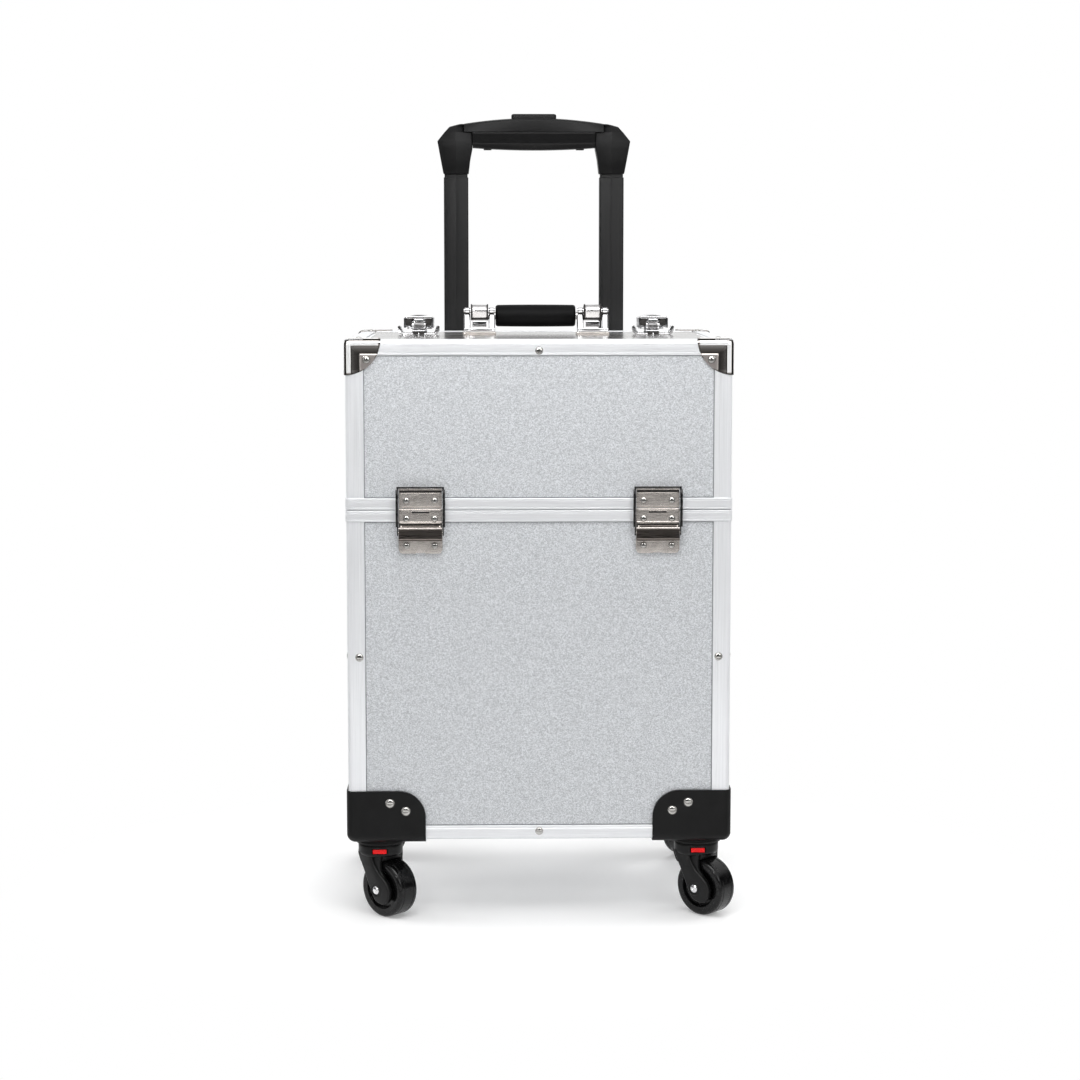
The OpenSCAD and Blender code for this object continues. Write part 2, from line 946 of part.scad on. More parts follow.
module grip_upper_shell() {
    half_w = button_w / 2 + button_gap;
    half_d = button_d / 2 + button_gap;
    color(black)
        difference() {
            intersection() {
                grip_bar();
                box([-shell_x, y_tube - cut, z_split], [shell_x, y_tube + cut, z_socket + cut * 2]);
            }
            box([-half_w, y_tube - half_d, pocket_floor], [half_w, y_tube + half_d, button_z + cut]);
        }
}

// Push button that frees the trolley's locks, slightly crowned
module trolley_button() {
    low = pocket_floor + button_travel + seat_gap;
    color(black)
        translate([0, y_tube, 0])
            intersection() {
                box([-button_w / 2, -button_d / 2, low],
                    [button_w / 2, button_d / 2, button_z + button_h]);
                along_y(button_d)
                    translate([0, button_z + button_h - button_crown_r])
                        circle(button_crown_r, $fn = 180);
            }
}

// Places a child on a caster's swivel axis, with +X along its trail
module on_caster(c) {
    translate([c[0], c[1], 0])
        rotate(c[2])
            children();
}

// Fork with its crown, two legs and the pocket for the release button
module fork(c) {
    crown_low = z_crown - crown_t;
    leg_top = z_crown - leg_down;
    pocket_w = release_w / 2 + button_gap;
    pocket_up = release_h / 2 + button_gap;
    color(black)
        on_caster(c)
            difference() {
                union() {
                    translate([0, 0, crown_low])
                        cylinder(h = crown_t, d = crown_d);
                    for (side = [-1, 1])
                        translate([0, side * (leg_in + leg_t / 2), 0])
                            along_y(leg_t)
                                intersection() {
                                    union() {
                                        translate([trail, wheel_r])
                                            circle(boss_r);
                                        polygon([
                                            [-leg_back, leg_top], [leg_front, leg_top],
                                            [trail + boss_r, wheel_r],
                                            [trail - boss_r * 0.7, wheel_r - boss_r * 0.7]
                                        ]);
                                    }
                                    translate([-cut, 0])
                                        square([2 * cut, leg_top]);
                                }
                }
                translate([0, 0, crown_low + crown_floor])
                    cylinder(h = crown_t, r = stem_r + pin_gap);
                translate([trail, 0, wheel_r])
                    rotate([90, 0, 0])
                        cylinder(h = 2 * leg_out + 2, r = axle_r + pin_gap, center = true);
                rotate(release_turn)
                    box([crown_d / 2 - release_pocket, -pocket_w, release_z - pocket_up],
                        [crown_d / 2 + cut, pocket_w, release_z + pocket_up]);
            }
}

// Axle riveted over at both ends
module axle(c) {
    color(chrome)
        on_caster(c)
            translate([trail, 0, wheel_r])
                rotate([90, 0, 0]) {
                    cylinder(h = 2 * leg_out, r = axle_r, center = true);
                    for (side = [0, 1])
                        mirror([0, 0, side])
                            translate([0, 0, leg_out])
                                dome(2 * (axle_r + axle_head), axle_head_h);
                }
}

// Outline of a wheel beside its axle: a grooved tread, a dished face and a hub
module wheel_outline() {
    difference() {
        translate([axle_r + pin_gap, -wheel_w / 2])
            square([wheel_r - axle_r - pin_gap, wheel_w]);
        for (side = [0, 1])
            mirror([0, side]) {
                translate([wheel_r, wheel_w / 2])
                    rotate(180)
                        corner_cut(tread_r);
                translate([dish_r, wheel_w / 2 - dish])
                    square([dish_w, cut]);
                translate([wheel_r - groove_in, wheel_w / 2 - groove_d])
                    square([groove_w, cut]);
            }
    }
}

module wheel(c) {
    color(black)
        on_caster(c)
            translate([trail, 0, wheel_r])
                rotate([90, 0, 0])
                    rotate_extrude()
                        wheel_outline();
}

// Red button in the crown that frees the caster from its stem
module release_button(c) {
    depth = release_pocket - release_travel - seat_gap;
    color(red)
        on_caster(c)
            rotate(release_turn)
                intersection() {
                    box([crown_d / 2 - depth, -release_w / 2, release_z - release_h / 2],
                        [crown_d / 2 + cut, release_w / 2, release_z + release_h / 2]);
                    cylinder(h = 2 * z_crown, r = crown_d / 2 + release_proud);
                }
}

// Upper case
upper_panel_low = z_web + rail_t;
upper_panel_high = z_top - edge_r;

module upper_front_panel() {
    color(silver_panel)
        front_panel(upper_panel_low, upper_panel_high);
}

module upper_rear_panel() {
    color(silver_panel)
        rear_panel(upper_panel_low, upper_panel_high);
}

module upper_side_panels() {
    color(silver_panel)
        side_panels(upper_panel_low, upper_panel_high);
}

module upper_floor_panel() {
    color(silver_panel)
        floor_panel(upper_panel_low);
}

module upper_posts() {
    color(aluminium)
        posts(z_upper_rim + rim_h, z_top);
}

// Top rails with the rebate that the lid and the rear deck lie in
module upper_top_rails() {
    ledge_in = rail_leg - rail_t;
    color(aluminium)
        on_walls()
            translate([0, 0, z_top]) {
                along_x($run - 2 * rail_leg)
                    mirror([0, 1])
                        angle_rail(rail_leg, top_leg);
                along_x($run - 2 * (rail_leg + ledge_w)) {
                    translate([ledge_in, z_ledge - rail_t - z_top])
                        square([rail_t, z_top - z_ledge]);
                    translate([ledge_in, z_ledge - rail_t - z_top])
                        square([rail_t + ledge_w, rail_t]);
                }
            }
}

// Channel under the upper case's walls, open below for the tongue, with a ledge for the floor
module upper_rim() {
    color(aluminium) {
        band(-rim_proud, rail_t, z_upper_rim, z_upper_rim + rim_h);
        band(rail_t - eps, wall_in + ledge_w, z_web, z_web + rail_t);
    }
}

// Three-sided steel shell over each top corner, with rounded ridges along its edges
// Its top stays on the flange, so that the lid swings clear of it
module corner_protectors() {
    ridge_r = edge_r + protector_t + ridge_t;
    reach = protector_r + cut;
    flange = rail_leg - seat_gap;
    color(nickel)
        on_corners()
            translate([0, 0, z_top])
                mirror([0, 0, 1])
                    difference() {
                        intersection() {
                            sphere(protector_r);
                            union() {
                                translate(-protector_t * [1, 1, 1])
                                    cube(reach);
                                translate(edge_r * [1, 1, 1]) {
                                    sphere(ridge_r);
                                    cylinder(h = reach, r = ridge_r);
                                    rotate([0, 90, 0])
                                        cylinder(h = reach, r = ridge_r);
                                    rotate([-90, 0, 0])
                                        cylinder(h = reach, r = ridge_r);
                                }
                            }
                        }
                        cube(reach);
                        translate([flange, flange, -cut])
                            cube(reach);
                    }
}

// Rivets of the top rails, the protectors and the latch catches
module upper_rivets() {
    latch_rivet_x = latch_w / 2 - latch_rivet_in;
    color(chrome) {
        on_walls() {
            translate([0, 0, z_top - top_leg * 0.7])
                wall_dome(rivet_d, rivet_h);
            for (side = [-1, 1])
                translate([side * ($run / 2 - protector_rivet), -protector_t, z_top - protector_rivet])
                    wall_dome(rivet_d, rivet_h);
        }
        on_corners()
            translate([rail_leg - flange_rivet_edge - rivet_d / 2, flange_rivet, z_top + protector_t])
                dome(rivet_d, rivet_h);
        on_latches()
            for (side = [-1, 1])
                translate([side * latch_rivet_x, -plate_v, latch_rivet_seam])
                    wall_dome(latch_rivet_d, latch_rivet_h);
    }
}

// Fixed rear part of the top, with a bar under the lid's rear edge
module rear_deck() {
    half = case_w / 2 - rail_leg - lid_gap;
    bar_half = case_w / 2 - rail_leg - ledge_w - seat_gap;
    bar_low = z_ledge - panel_t;
    color(silver_panel) {
        box([-half, y_seam + lid_gap / 2, z_ledge], [half, y_rear - rail_leg - seat_gap, z_lid]);
        box([-bar_half, y_seam - deck_bar_front, bar_low],
            [bar_half, y_seam + deck_bar_rear, z_ledge + eps]);
    }
}

// Catch plates above the seam, with a lip that the bail's bar sits over
module latch_catches() {
    half = latch_w / 2 - catch_side;
    low = seam_gap / 2 + catch_low;
    back_low = seam_gap / 2 + rim_h + seat_gap;
    color(nickel)
        on_latches()
            latch_slice(-half, half) {
                translate([rim_proud, low])
                    square([latch_t, catch_rise - low]);
                translate([-rail_t, back_low])
                    square([rail_t + rim_proud + eps, catch_rise - back_low]);
                translate([plate_v - eps, catch_rise - catch_lip])
                    square([latch_rivet_h, catch_lip]);
            }
}

// Posts on the rear deck that the top latches' hooks drop behind
module top_catches() {
    y_back = y_seam + hook_y - catch_hook_gap;
    color(chrome)
        for (side = [-1, 1])
            translate([side * top_latch_x, 0, z_lid]) {
                box([-catch_foot_half, y_seam + catch_foot_gap, 0],
                    [catch_foot_half, y_back, catch_foot_t]);
                box([-catch_post_half, y_seam + catch_post_gap, 0],
                    [catch_post_half, y_back, catch_post_h]);
            }
}

// Hinge pin along the front edge of the opening, with a lug at each end
module lid_hinge() {
    half = case_w / 2 - rail_leg - lid_gap;
    color(aluminium)
        translate([0, y_hinge, z_hinge]) {
            along_x(2 * half)
                circle(hinge_pin_r);
            for (side = [0, 1])
                mirror([side, 0, 0])
                    translate([half - hinge_lug / 2, 0, 0])
                        along_x(hinge_lug) {
                            circle(hinge_r);
                            translate([y_front + rail_leg - y_hinge, z_ledge - z_hinge])
                                square([y_hinge - y_front - rail_leg, z_hinge - z_ledge]);
                        }
        }
}

// Lid flap
lid_half = case_w / 2 - rail_leg - lid_gap;
lid_rear = y_seam - lid_gap / 2;
lid_low = z_lid - lid_t;
lid_front = y_hinge + hinge_r + seat_gap;

// Covered board inside the lid's edging
module lid_panel() {
    color(silver_panel)
        box([edging_w - lid_half, lid_front + edging_w, lid_low],
            [lid_half - edging_w, lid_rear - edging_w, z_lid]);
}

// Aluminium edging with the hinge barrel along its front
module lid_edging() {
    barrel_half = lid_half - hinge_lug - seat_gap;
    color(aluminium)
        difference() {
            union() {
                box([-lid_half, lid_front, lid_low], [lid_half, lid_rear, z_lid]);
                box([-barrel_half, y_hinge, lid_low], [barrel_half, lid_front + eps, z_lid]);
                translate([0, y_hinge, z_hinge])
                    along_x(2 * barrel_half)
                        circle(hinge_r);
            }
            box([edging_w - lid_half, lid_front + edging_w, lid_low - 1],
                [lid_half - edging_w, lid_rear - edging_w, z_lid + 1]);
            translate([0, y_hinge, z_hinge])
                along_x(2 * case_w)
                    circle(hinge_pin_r + pin_gap);
        }
}

// Steel brackets with two ears each and the pin that the handle turns on
module handle_brackets() {
    color(chrome)
        for (side = [-1, 1])
            translate([side * bracket_x, handle_pivot[0], z_lid]) {
                box([-bracket_w / 2, -bracket_d / 2, 0], [bracket_w / 2, bracket_d / 2, bracket_t]);
                box([-bracket_w / 2, -bracket_d / 2, 0],
                    [bracket_w / 2, bracket_t - bracket_d / 2, bracket_bar_h]);
                for (hand = [-1, 1])
                    translate([hand * (ear_in + ear_t / 2), 0, 0])
                        along_x(ear_t) {
                            polygon([
                                [-ear_foot, 0], [ear_foot, 0], [ear_r, pivot_h], [-ear_r, pivot_h]
                            ]);
                            translate([0, pivot_h])
                                circle(ear_r);
                        }
                translate([0, 0, pivot_h])
                    along_x(2 * (ear_in + ear_t))
                        circle(pivot_r);
                for (hand = [-1, 1])
                    translate([hand * (ear_in + ear_t), 0, pivot_h])
                        rotate([0, hand * 90, 0])
                            dome(2 * (pivot_r + pin_head), pin_head_h);
            }
}

// Bases of the top latches: a plate with splayed wings, a ribbed post and its pin
module top_latch_bases() {
    wing_x = top_lever_w / 2 + wing_gap;
    color(chrome)
        for (side = [-1, 1])
            translate([side * top_latch_x, top_pivot[0], z_lid]) {
                box([-wing_x - wing_t, -base_front, 0], [wing_x + wing_t, base_rear, base_t]);
                for (hand = [0, 1])
                    mirror([hand, 0, 0])
                        along_y(wing_d)
                            polygon([
                                [wing_x - wing_t, 0], [wing_x + wing_t, 0],
                                [wing_x + wing_out, wing_h], [wing_x + wing_in, wing_tip]
                            ]);
                difference() {
                    box([-top_post_w / 2, -post_half, 0],
                        [top_post_w / 2, post_half, top_pivot_h + top_pin_r + post_over]);
                    for (rib = [0 : 2]) {
                        z = rib_first + rib * rib_step;
                        box([-top_post_w, -cut, z], [top_post_w, rib_d - post_half, z + rib_h]);
                    }
                }
                translate([0, 0, top_pivot_h])
                    along_x(top_lever_w)
                        circle(top_pin_r);
            }
}

// Domed lever of a top latch, with a hook that drops behind the catch
module top_lever(side) {
    front = -lever_front;
    rear = top_pivot_y + hook_y + top_shell;
    length = rear - front;
    inner = top_lever_w / 2 - lever_side;
    cheek_low = -cheek_drop;
    top = top_latch_h - top_pivot_h;
    color(chrome)
        translate([side * top_latch_x, top_pivot[0], top_pivot[1]])
            difference() {
                union() {
                    translate([0, front + length / 2, 0])
                        along_y(length)
                            difference() {
                                lever_section(top, top_lever_w / 2, top_crown_r, cheek_low);
                                lever_section(
                                    top - top_shell, inner, top_crown_r - top_shell, cheek_low - cut
                                );
                            }
                    box([-inner - eps, rear - top_shell, cheek_low - hook_drop],
                        [inner + eps, rear, top - top_lever_crown]);
                }
                rotate([0, 90, 0])
                    cylinder(h = 2 * top_lever_w, r = top_pin_r + pin_gap, center = true);
            }
}

// Cross-section of a lever: upright sides under a crowned top
module lever_section(top, half, crown_r, low) {
    intersection() {
        translate([-half, low])
            square([2 * half, top - low]);
        union() {
            translate([0, top - crown_r])
                circle(crown_r, $fn = 96);
            translate([-half, low])
                square([2 * half, top - top_lever_crown - low]);
        }
    }
}

module top_lever_left() {
    top_lever(-1);
}

module top_lever_right() {
    top_lever(1);
}

// Carry handle's arms and the rod through its grip
module handle_bail() {
    arm = [grip_back, -grip_drop];
    across = [grip_drop, grip_back] / norm(arm);
    knuckle = pivot_r + knuckle_wall;
    color(chrome)
        translate([0, handle_pivot[0], handle_pivot[1]])
            difference() {
                union() {
                    for (side = [-1, 1])
                        translate([side * bracket_x, 0, 0])
                            along_x(arm_w) {
                                circle(knuckle);
                                translate(arm)
                                    circle(knuckle);
                                polygon([
                                    across * knuckle, arm + across * knuckle,
                                    arm - across * knuckle, -across * knuckle
                                ]);
                            }
                    translate([0, grip_back, -grip_drop])
                        along_x(2 * bracket_x)
                            circle(rod_r);
                }
                along_x(case_w)
                    circle(pivot_r + pin_gap);
            }
}

// Padded grip on the handle's rod
module handle_grip() {
    color(black)
        translate([0, grip_axis[0], grip_axis[1]])
            rotate([0, 90, 0])
                rotate_extrude()
                    difference() {
                        translate([rod_r, -grip_len / 2])
                            square([grip_r - rod_r, grip_len]);
                        for (end = [0, 1])
                            mirror([0, end])
                                translate([grip_r, grip_len / 2])
                                    rotate(180)
                                        corner_cut(grip_end_r);
                    }
}

lower_front_panel();
lower_rear_panel();
lower_side_panels();
lower_floor_panel();
lower_posts();
lower_base_rails();
lower_rim();
corner_guards();
caster_collars();
lower_rivets();
latch_bases();
trolley_outer_tubes();
trolley_clamps();
trolley_middle_tubes();
trolley_inner_tubes();
grip_lower_shell();
grip_upper_shell();
grip_sockets();
trolley_button();
fork(FRONT_LEFT);  // fork_front_left
axle(FRONT_LEFT);  // axle_front_left
wheel(FRONT_LEFT);  // wheel_front_left
release_button(FRONT_LEFT);  // release_front_left
fork(FRONT_RIGHT);  // fork_front_right
axle(FRONT_RIGHT);  // axle_front_right
wheel(FRONT_RIGHT);  // wheel_front_right
release_button(FRONT_RIGHT);  // release_front_right
fork(REAR_LEFT);  // fork_rear_left
axle(REAR_LEFT);  // axle_rear_left
wheel(REAR_LEFT);  // wheel_rear_left
release_button(REAR_LEFT);  // release_rear_left
fork(REAR_RIGHT);  // fork_rear_right
axle(REAR_RIGHT);  // axle_rear_right
wheel(REAR_RIGHT);  // wheel_rear_right
release_button(REAR_RIGHT);  // release_rear_right
upper_front_panel();
upper_rear_panel();
upper_side_panels();
upper_floor_panel();
upper_posts();
upper_top_rails();
upper_rim();
corner_protectors();
upper_rivets();
rear_deck();
latch_catches();
top_catches();
lid_hinge();
lid_panel();
lid_edging();
handle_brackets();
top_latch_bases();
handle_bail();
handle_grip();
latch_lever_left();
latch_lever_right();
latch_bail_left();
latch_bail_right();
top_lever_left();
top_lever_right();
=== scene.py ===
import math
import bmesh
import bpy
import numpy as np
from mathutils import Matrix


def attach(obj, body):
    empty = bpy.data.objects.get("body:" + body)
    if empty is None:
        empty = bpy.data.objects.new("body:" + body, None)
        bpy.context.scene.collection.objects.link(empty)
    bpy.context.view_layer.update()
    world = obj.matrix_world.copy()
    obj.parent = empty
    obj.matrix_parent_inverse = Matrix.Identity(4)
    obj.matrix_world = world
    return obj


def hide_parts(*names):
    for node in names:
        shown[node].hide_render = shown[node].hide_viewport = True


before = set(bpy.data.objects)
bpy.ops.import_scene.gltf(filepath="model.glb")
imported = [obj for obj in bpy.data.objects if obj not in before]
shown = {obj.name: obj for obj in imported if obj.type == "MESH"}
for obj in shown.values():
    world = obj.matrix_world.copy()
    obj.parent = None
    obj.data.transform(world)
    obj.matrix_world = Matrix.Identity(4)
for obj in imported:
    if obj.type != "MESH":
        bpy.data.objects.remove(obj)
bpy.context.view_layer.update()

# ---- Board panels: the walls and floors of both cases.
# Thin board under a silver foil with a fine pebble grain, lined inside with black cloth.
# They are held by their edges in the aluminium rails, so the CAD solids stay and are dressed here.


def add_node(made, kind, inputs):
    """New node of a finish; each input is set to a value, or linked where it gets another node's socket."""
    new = made.node_tree.nodes.new("ShaderNode" + kind)
    for name, value in inputs.items():
        if isinstance(value, bpy.types.NodeSocket):
            made.node_tree.links.new(value, new.inputs[name])
        else:
            new.inputs[name].default_value = value
    return new


def finish(name, colour, rough, metal=0.0, coat=0.0, specular=0.5):
    """Finish with one colour, roughness and metal all over; patterns are linked to it later."""
    made = bpy.data.materials.new(name)
    made.use_nodes = True
    shader = made.node_tree.nodes["Principled BSDF"]
    shader.inputs["Base Color"].default_value = (*colour, 1)
    shader.inputs["Roughness"].default_value = rough
    shader.inputs["Metallic"].default_value = metal
    shader.inputs["Specular IOR Level"].default_value = specular
    shader.inputs["Coat Weight"].default_value = coat
    shader.inputs["Coat Roughness"].default_value = 0.12
    return made


def into_shader(made, socket, name):
    """Links a pattern to one of the shader's inputs."""
    shader = made.node_tree.nodes["Principled BSDF"]
    made.node_tree.links.new(socket, shader.inputs[name])


def grain(made, size, stretch=(1, 1, 1), detail=3.0):
    """Noise over the piece in its own coordinates: size is one grain in mm, longer along a stretched axis."""
    place = add_node(made, "TexCoord", {}).outputs["Object"]
    scale = [1000 / (size * times) for times in stretch]
    spread = add_node(made, "Mapping", {"Vector": place, "Scale": scale}).outputs["Vector"]
    noise = {"Vector": spread, "Scale": 1.0, "Detail": detail, "Roughness": 0.55}
    return add_node(made, "TexNoise", noise).outputs["Fac"]


def tint(made, pattern, dark, light, start=0.35, end=0.65):
    """Colour that goes from dark to light as a pattern rises from start to end."""
    ramp = add_node(made, "ValToRGB", {"Fac": pattern})
    for stop, place, colour in zip(ramp.color_ramp.elements, (start, end), (dark, light)):
        stop.position = place
        stop.color = (*colour, 1)
    into_shader(made, ramp.outputs["Color"], "Base Color")
    return ramp.outputs["Color"]


def gloss(made, pattern, smooth, rough):
    """Roughness that goes from smooth to rough as a pattern rises."""
    span = {"Value": pattern, "From Min": 0.3, "From Max": 0.7, "To Min": smooth, "To Max": rough}
    into_shader(made, add_node(made, "MapRange", span).outputs["Result"], "Roughness")


def relief(made, pattern, height):
    """Bump whose height in mm follows a pattern, over any bump that the finish already has."""
    shader = made.node_tree.nodes["Principled BSDF"]
    inputs = {"Height": pattern, "Distance": height / 1000, "Strength": 1.0}
    if shader.inputs["Normal"].links:
        inputs["Normal"] = shader.inputs["Normal"].links[0].from_socket
    into_shader(made, add_node(made, "Bump", inputs).outputs["Normal"], "Normal")


def dress(made, *names):
    """Gives CAD nodes a finish in place of the plain one they came with."""
    for name in names:
        shown[name].data.materials.clear()
        shown[name].data.materials.append(made)


lining_middle = (0, -0.0088, 0.298)
lining_reach = (0.1663, 0.1213, 0.2188)


def inside_case(made):
    """One inside the case, zero outside: on each axis, the distance from the lining's middle is under its reach."""
    place = add_node(made, "TexCoord", {}).outputs["Object"]
    offset = add_node(made, "VectorMath", {0: place, 1: lining_middle})
    offset.operation = "SUBTRACT"
    far = add_node(made, "VectorMath", {0: offset.outputs["Vector"]})
    far.operation = "ABSOLUTE"
    axes = add_node(made, "SeparateXYZ", {"Vector": far.outputs["Vector"]})
    near = 1.0
    for axis, reach in zip("XYZ", lining_reach):
        under = add_node(made, "Math", {0: axes.outputs[axis], 1: reach})
        under.operation = "LESS_THAN"
        both = add_node(made, "Math", {0: near, 1: under.outputs["Value"]})
        both.operation = "MULTIPLY"
        near = both.outputs["Value"]
    return near


def lined(made, outer_colour, outer_rough):
    """Mixes a black cloth lining into a finish wherever a face is inside the case."""
    inner = inside_case(made)
    cloth = add_node(made, "ValToRGB", {"Fac": grain(made, 0.9, (1, 1, 2.5))})
    cloth.color_ramp.elements[0].color = (0.012, 0.012, 0.013, 1)
    cloth.color_ramp.elements[1].color = (0.035, 0.035, 0.037, 1)
    mix = add_node(made, "MixRGB", {"Fac": inner, "Color1": outer_colour, "Color2": cloth.outputs["Color"]})
    into_shader(made, mix.outputs["Color"], "Base Color")
    rough = {"Value": inner, "From Min": 0.0, "From Max": 1.0, "To Min": outer_rough, "To Max": 0.9}
    into_shader(made, add_node(made, "MapRange", rough).outputs["Result"], "Roughness")


board = finish("silver_board", (0.6, 0.62, 0.64), 0.5, metal=0.15)
pebbles = grain(board, 0.78, (1.2, 1.2, 0.95), detail=1.0)
board_colour = tint(board, pebbles, (0.36, 0.374, 0.392), (0.73, 0.747, 0.77), 0.28, 0.72)
lined(board, board_colour, 0.47)
relief(board, pebbles, 0.08)
dress(board, "lower_front_panel", "lower_rear_panel", "lower_side_panels", "lower_floor_panel")
dress(board, "upper_front_panel", "upper_rear_panel", "upper_side_panels", "upper_floor_panel")

# ---- Corner posts: rolled aluminium angles over the upright edges of both cases.
# Each has a rounded outer edge and a fine drawn line beside the inner edge of each leg.
# They are riveted to the panels, and the guards and protectors cover their ends.


def filleted(corners, radius, steps=4):
    """Closed outline through corners, each rounded by an arc whose centre lies on the corner's bisector."""
    point = np.asarray(corners, float)
    radius = np.broadcast_to(np.asarray(radius, float), len(point))[:, None]
    back = np.roll(point, 1, 0) - point
    back /= np.linalg.norm(back, axis=1, keepdims=True)
    ahead = np.roll(point, -1, 0) - point
    ahead /= np.linalg.norm(ahead, axis=1, keepdims=True)
    half = np.arccos(np.clip((back * ahead).sum(1, keepdims=True), -1, 1)) / 2
    middle = back + ahead
    middle /= np.linalg.norm(middle, axis=1, keepdims=True)
    centre = point + middle * radius / np.sin(half)
    start = point + back * radius / np.tan(half) - centre
    end = point + ahead * radius / np.tan(half) - centre
    turn = (np.pi - 2 * half)[:, None]
    share = np.linspace(0, 1, steps + 1)[None, :, None]
    arc = np.sin((1 - share) * turn) * start[:, None] + np.sin(share * turn) * end[:, None]
    return (centre[:, None] + arc / np.sin(turn)).reshape(-1, 2)


def ring_at(outline, level):
    """Flat outline at one level of its path, as a ring of points."""
    return np.column_stack([outline, np.full(len(outline), float(level))])


def carried(outline, levels):
    """Copies of a flat outline at levels along a straight path, as rings of points."""
    return np.stack([ring_at(outline, level) for level in levels])


def placed(rings, origin, across, up, out):
    """Turns local coordinates into the case's: the origin plus each coordinate along its own axis."""
    return np.asarray(origin, float) + np.asarray(rings) @ np.array([across, up, out], float)


def loft(rings, round_trip=False):
    """Skin over closed rings: quads join each ring to the next, and flat faces close both ends.
    A round trip joins the last ring to the first instead."""
    count, around = rings.shape[:2]
    index = np.arange(count * around).reshape(count, around)
    low = index if round_trip else index[:-1]
    high = np.roll(index, -1, 0) if round_trip else index[1:]
    quads = np.stack([low, np.roll(low, -1, 1), np.roll(high, -1, 1), high], -1).reshape(-1, 4)
    caps = [] if round_trip else [index[0, ::-1].tolist(), index[-1].tolist()]
    return rings.reshape(-1, 3), quads, caps


def piece(name, shells, made, body, nodes=(), crease=38, painted_light=None):
    """Joins shells of points in mm into one mesh in metres at the origin, riding on a body.
    Points that coincide are merged, faces turned outwards, and edges under the crease angle shaded smooth.
    Painted light, where given, is a number for each point that a finish can read as painted highlight or shade."""
    first = np.cumsum([0] + [len(points) for points, quads, caps in shells])
    points = np.concatenate([shell[0] for shell in shells]) / 1000
    faces = np.concatenate([shell[1] + start for shell, start in zip(shells, first)]).tolist()
    for shell, start in zip(shells, first):
        faces += [(np.array(cap) + start).tolist() for cap in shell[2]]
    mesh = bpy.data.meshes.new(name)
    mesh.from_pydata(points.tolist(), [], faces)
    if painted_light is not None:
        mesh.attributes.new("painted_light", "FLOAT", "POINT").data.foreach_set("value", np.concatenate(painted_light))
    work = bmesh.new()
    work.from_mesh(mesh)
    bmesh.ops.remove_doubles(work, verts=work.verts, dist=2e-6)
    bmesh.ops.recalc_face_normals(work, faces=work.faces)
    work.to_mesh(mesh)
    work.free()
    mesh.materials.append(made)
    mesh.shade_smooth()
    mesh.set_sharp_from_angle(angle=math.radians(crease))
    made_piece = bpy.data.objects.new(name, mesh)
    bpy.context.scene.collection.objects.link(made_piece)
    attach(made_piece, body)
    if nodes:
        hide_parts(*nodes)
    return made_piece


half_w, half_d, y_mid = 170.0, 125.0, -8.8
y_front = y_mid - half_d
corners = [(-1, -1), (1, -1), (-1, 1), (1, 1)]
X, Y, Z = np.eye(3)

aluminium = finish("satin_aluminium", (0.81, 0.82, 0.84), 0.36, metal=0.4)
drawn = grain(aluminium, 0.5, (60, 60, 1), detail=2.0)
tint(aluminium, drawn, (0.77, 0.78, 0.8), (0.86, 0.87, 0.885), 0.3, 0.7)
gloss(aluminium, drawn, 0.3, 0.42)
relief(aluminium, drawn, 0.004)

upright = finish("satin_aluminium_upright", (0.85, 0.86, 0.88), 0.36, metal=0.4)
drawn = grain(upright, 0.5, (1, 1, 120), detail=2.0)
tint(upright, drawn, (0.81, 0.82, 0.84), (0.9, 0.91, 0.93), 0.3, 0.7)
gloss(upright, drawn, 0.3, 0.42)
relief(upright, drawn, 0.004)

post_leg, rail_t, edge_r = 15.9, 1.4, 4.0
drawn_line = [(12.4, 0), (12.1, 0.25), (11.8, 0.25), (11.5, 0)]
post_outline = filleted(
    [(post_leg, 0), *drawn_line, (0, 0), *[(b, a) for a, b in drawn_line[::-1]], (0, post_leg),
     (rail_t, post_leg), (rail_t, rail_t), (post_leg, rail_t)],
    [0.6] + [0.05] * 4 + [edge_r] + [0.05] * 4 + [0.6, 0.6, edge_r - rail_t, 0.6])
for name, body, low, high in (("lower", "lower_bin", 75.0, 359.6), ("upper", "upper_case", 380.4, 520.0)):
    rings = carried(post_outline, (low, high))
    shells = [loft(placed(rings, (a * half_w, y_mid + b * half_d, 0), -a * X, -b * Y, Z)) for a, b in corners]
    piece(name + "_post_angles", shells, upright, body, [name + "_posts"])

# ---- Base and top rails: aluminium angles along the bottom and top edges of the walls.
# They run between the posts, with the same rounded edge and drawn line; the top ones also have a rebate,
# on whose ledge the lid and the rear deck lie.
walls = [(X, -Y, half_w, half_d), (-X, Y, half_w, half_d), (Y, X, half_d, half_w), (-Y, -X, half_d, half_w)]
middle = np.array([0, y_mid, 0])


def rail_outline(leg, flange, line):
    """Angle with one leg down a wall and a flange into the case, and a drawn line on the leg."""
    groove = [(0, line + 0.45), (0.25, line + 0.15), (0.25, line - 0.15), (0, line - 0.45)]
    return filleted(
        [(0, leg), *groove, (0, 0), (flange, 0), (flange, rail_t), (rail_t, rail_t), (rail_t, leg)],
        [0.6] + [0.05] * 4 + [edge_r, 0.6, 0.3, edge_r - rail_t, 0.6])


def along_walls(outline, z, up, ends):
    """Carries an outline (depth into the case, height) along all four walls, stopping short of the corners."""
    shells = []
    for along, out, run, reach in walls:
        rings = carried(outline, (ends - run, run - ends))
        shells.append(loft(placed(rings, middle + out * reach + Z * z, -out, up * Z, along)))
    return shells


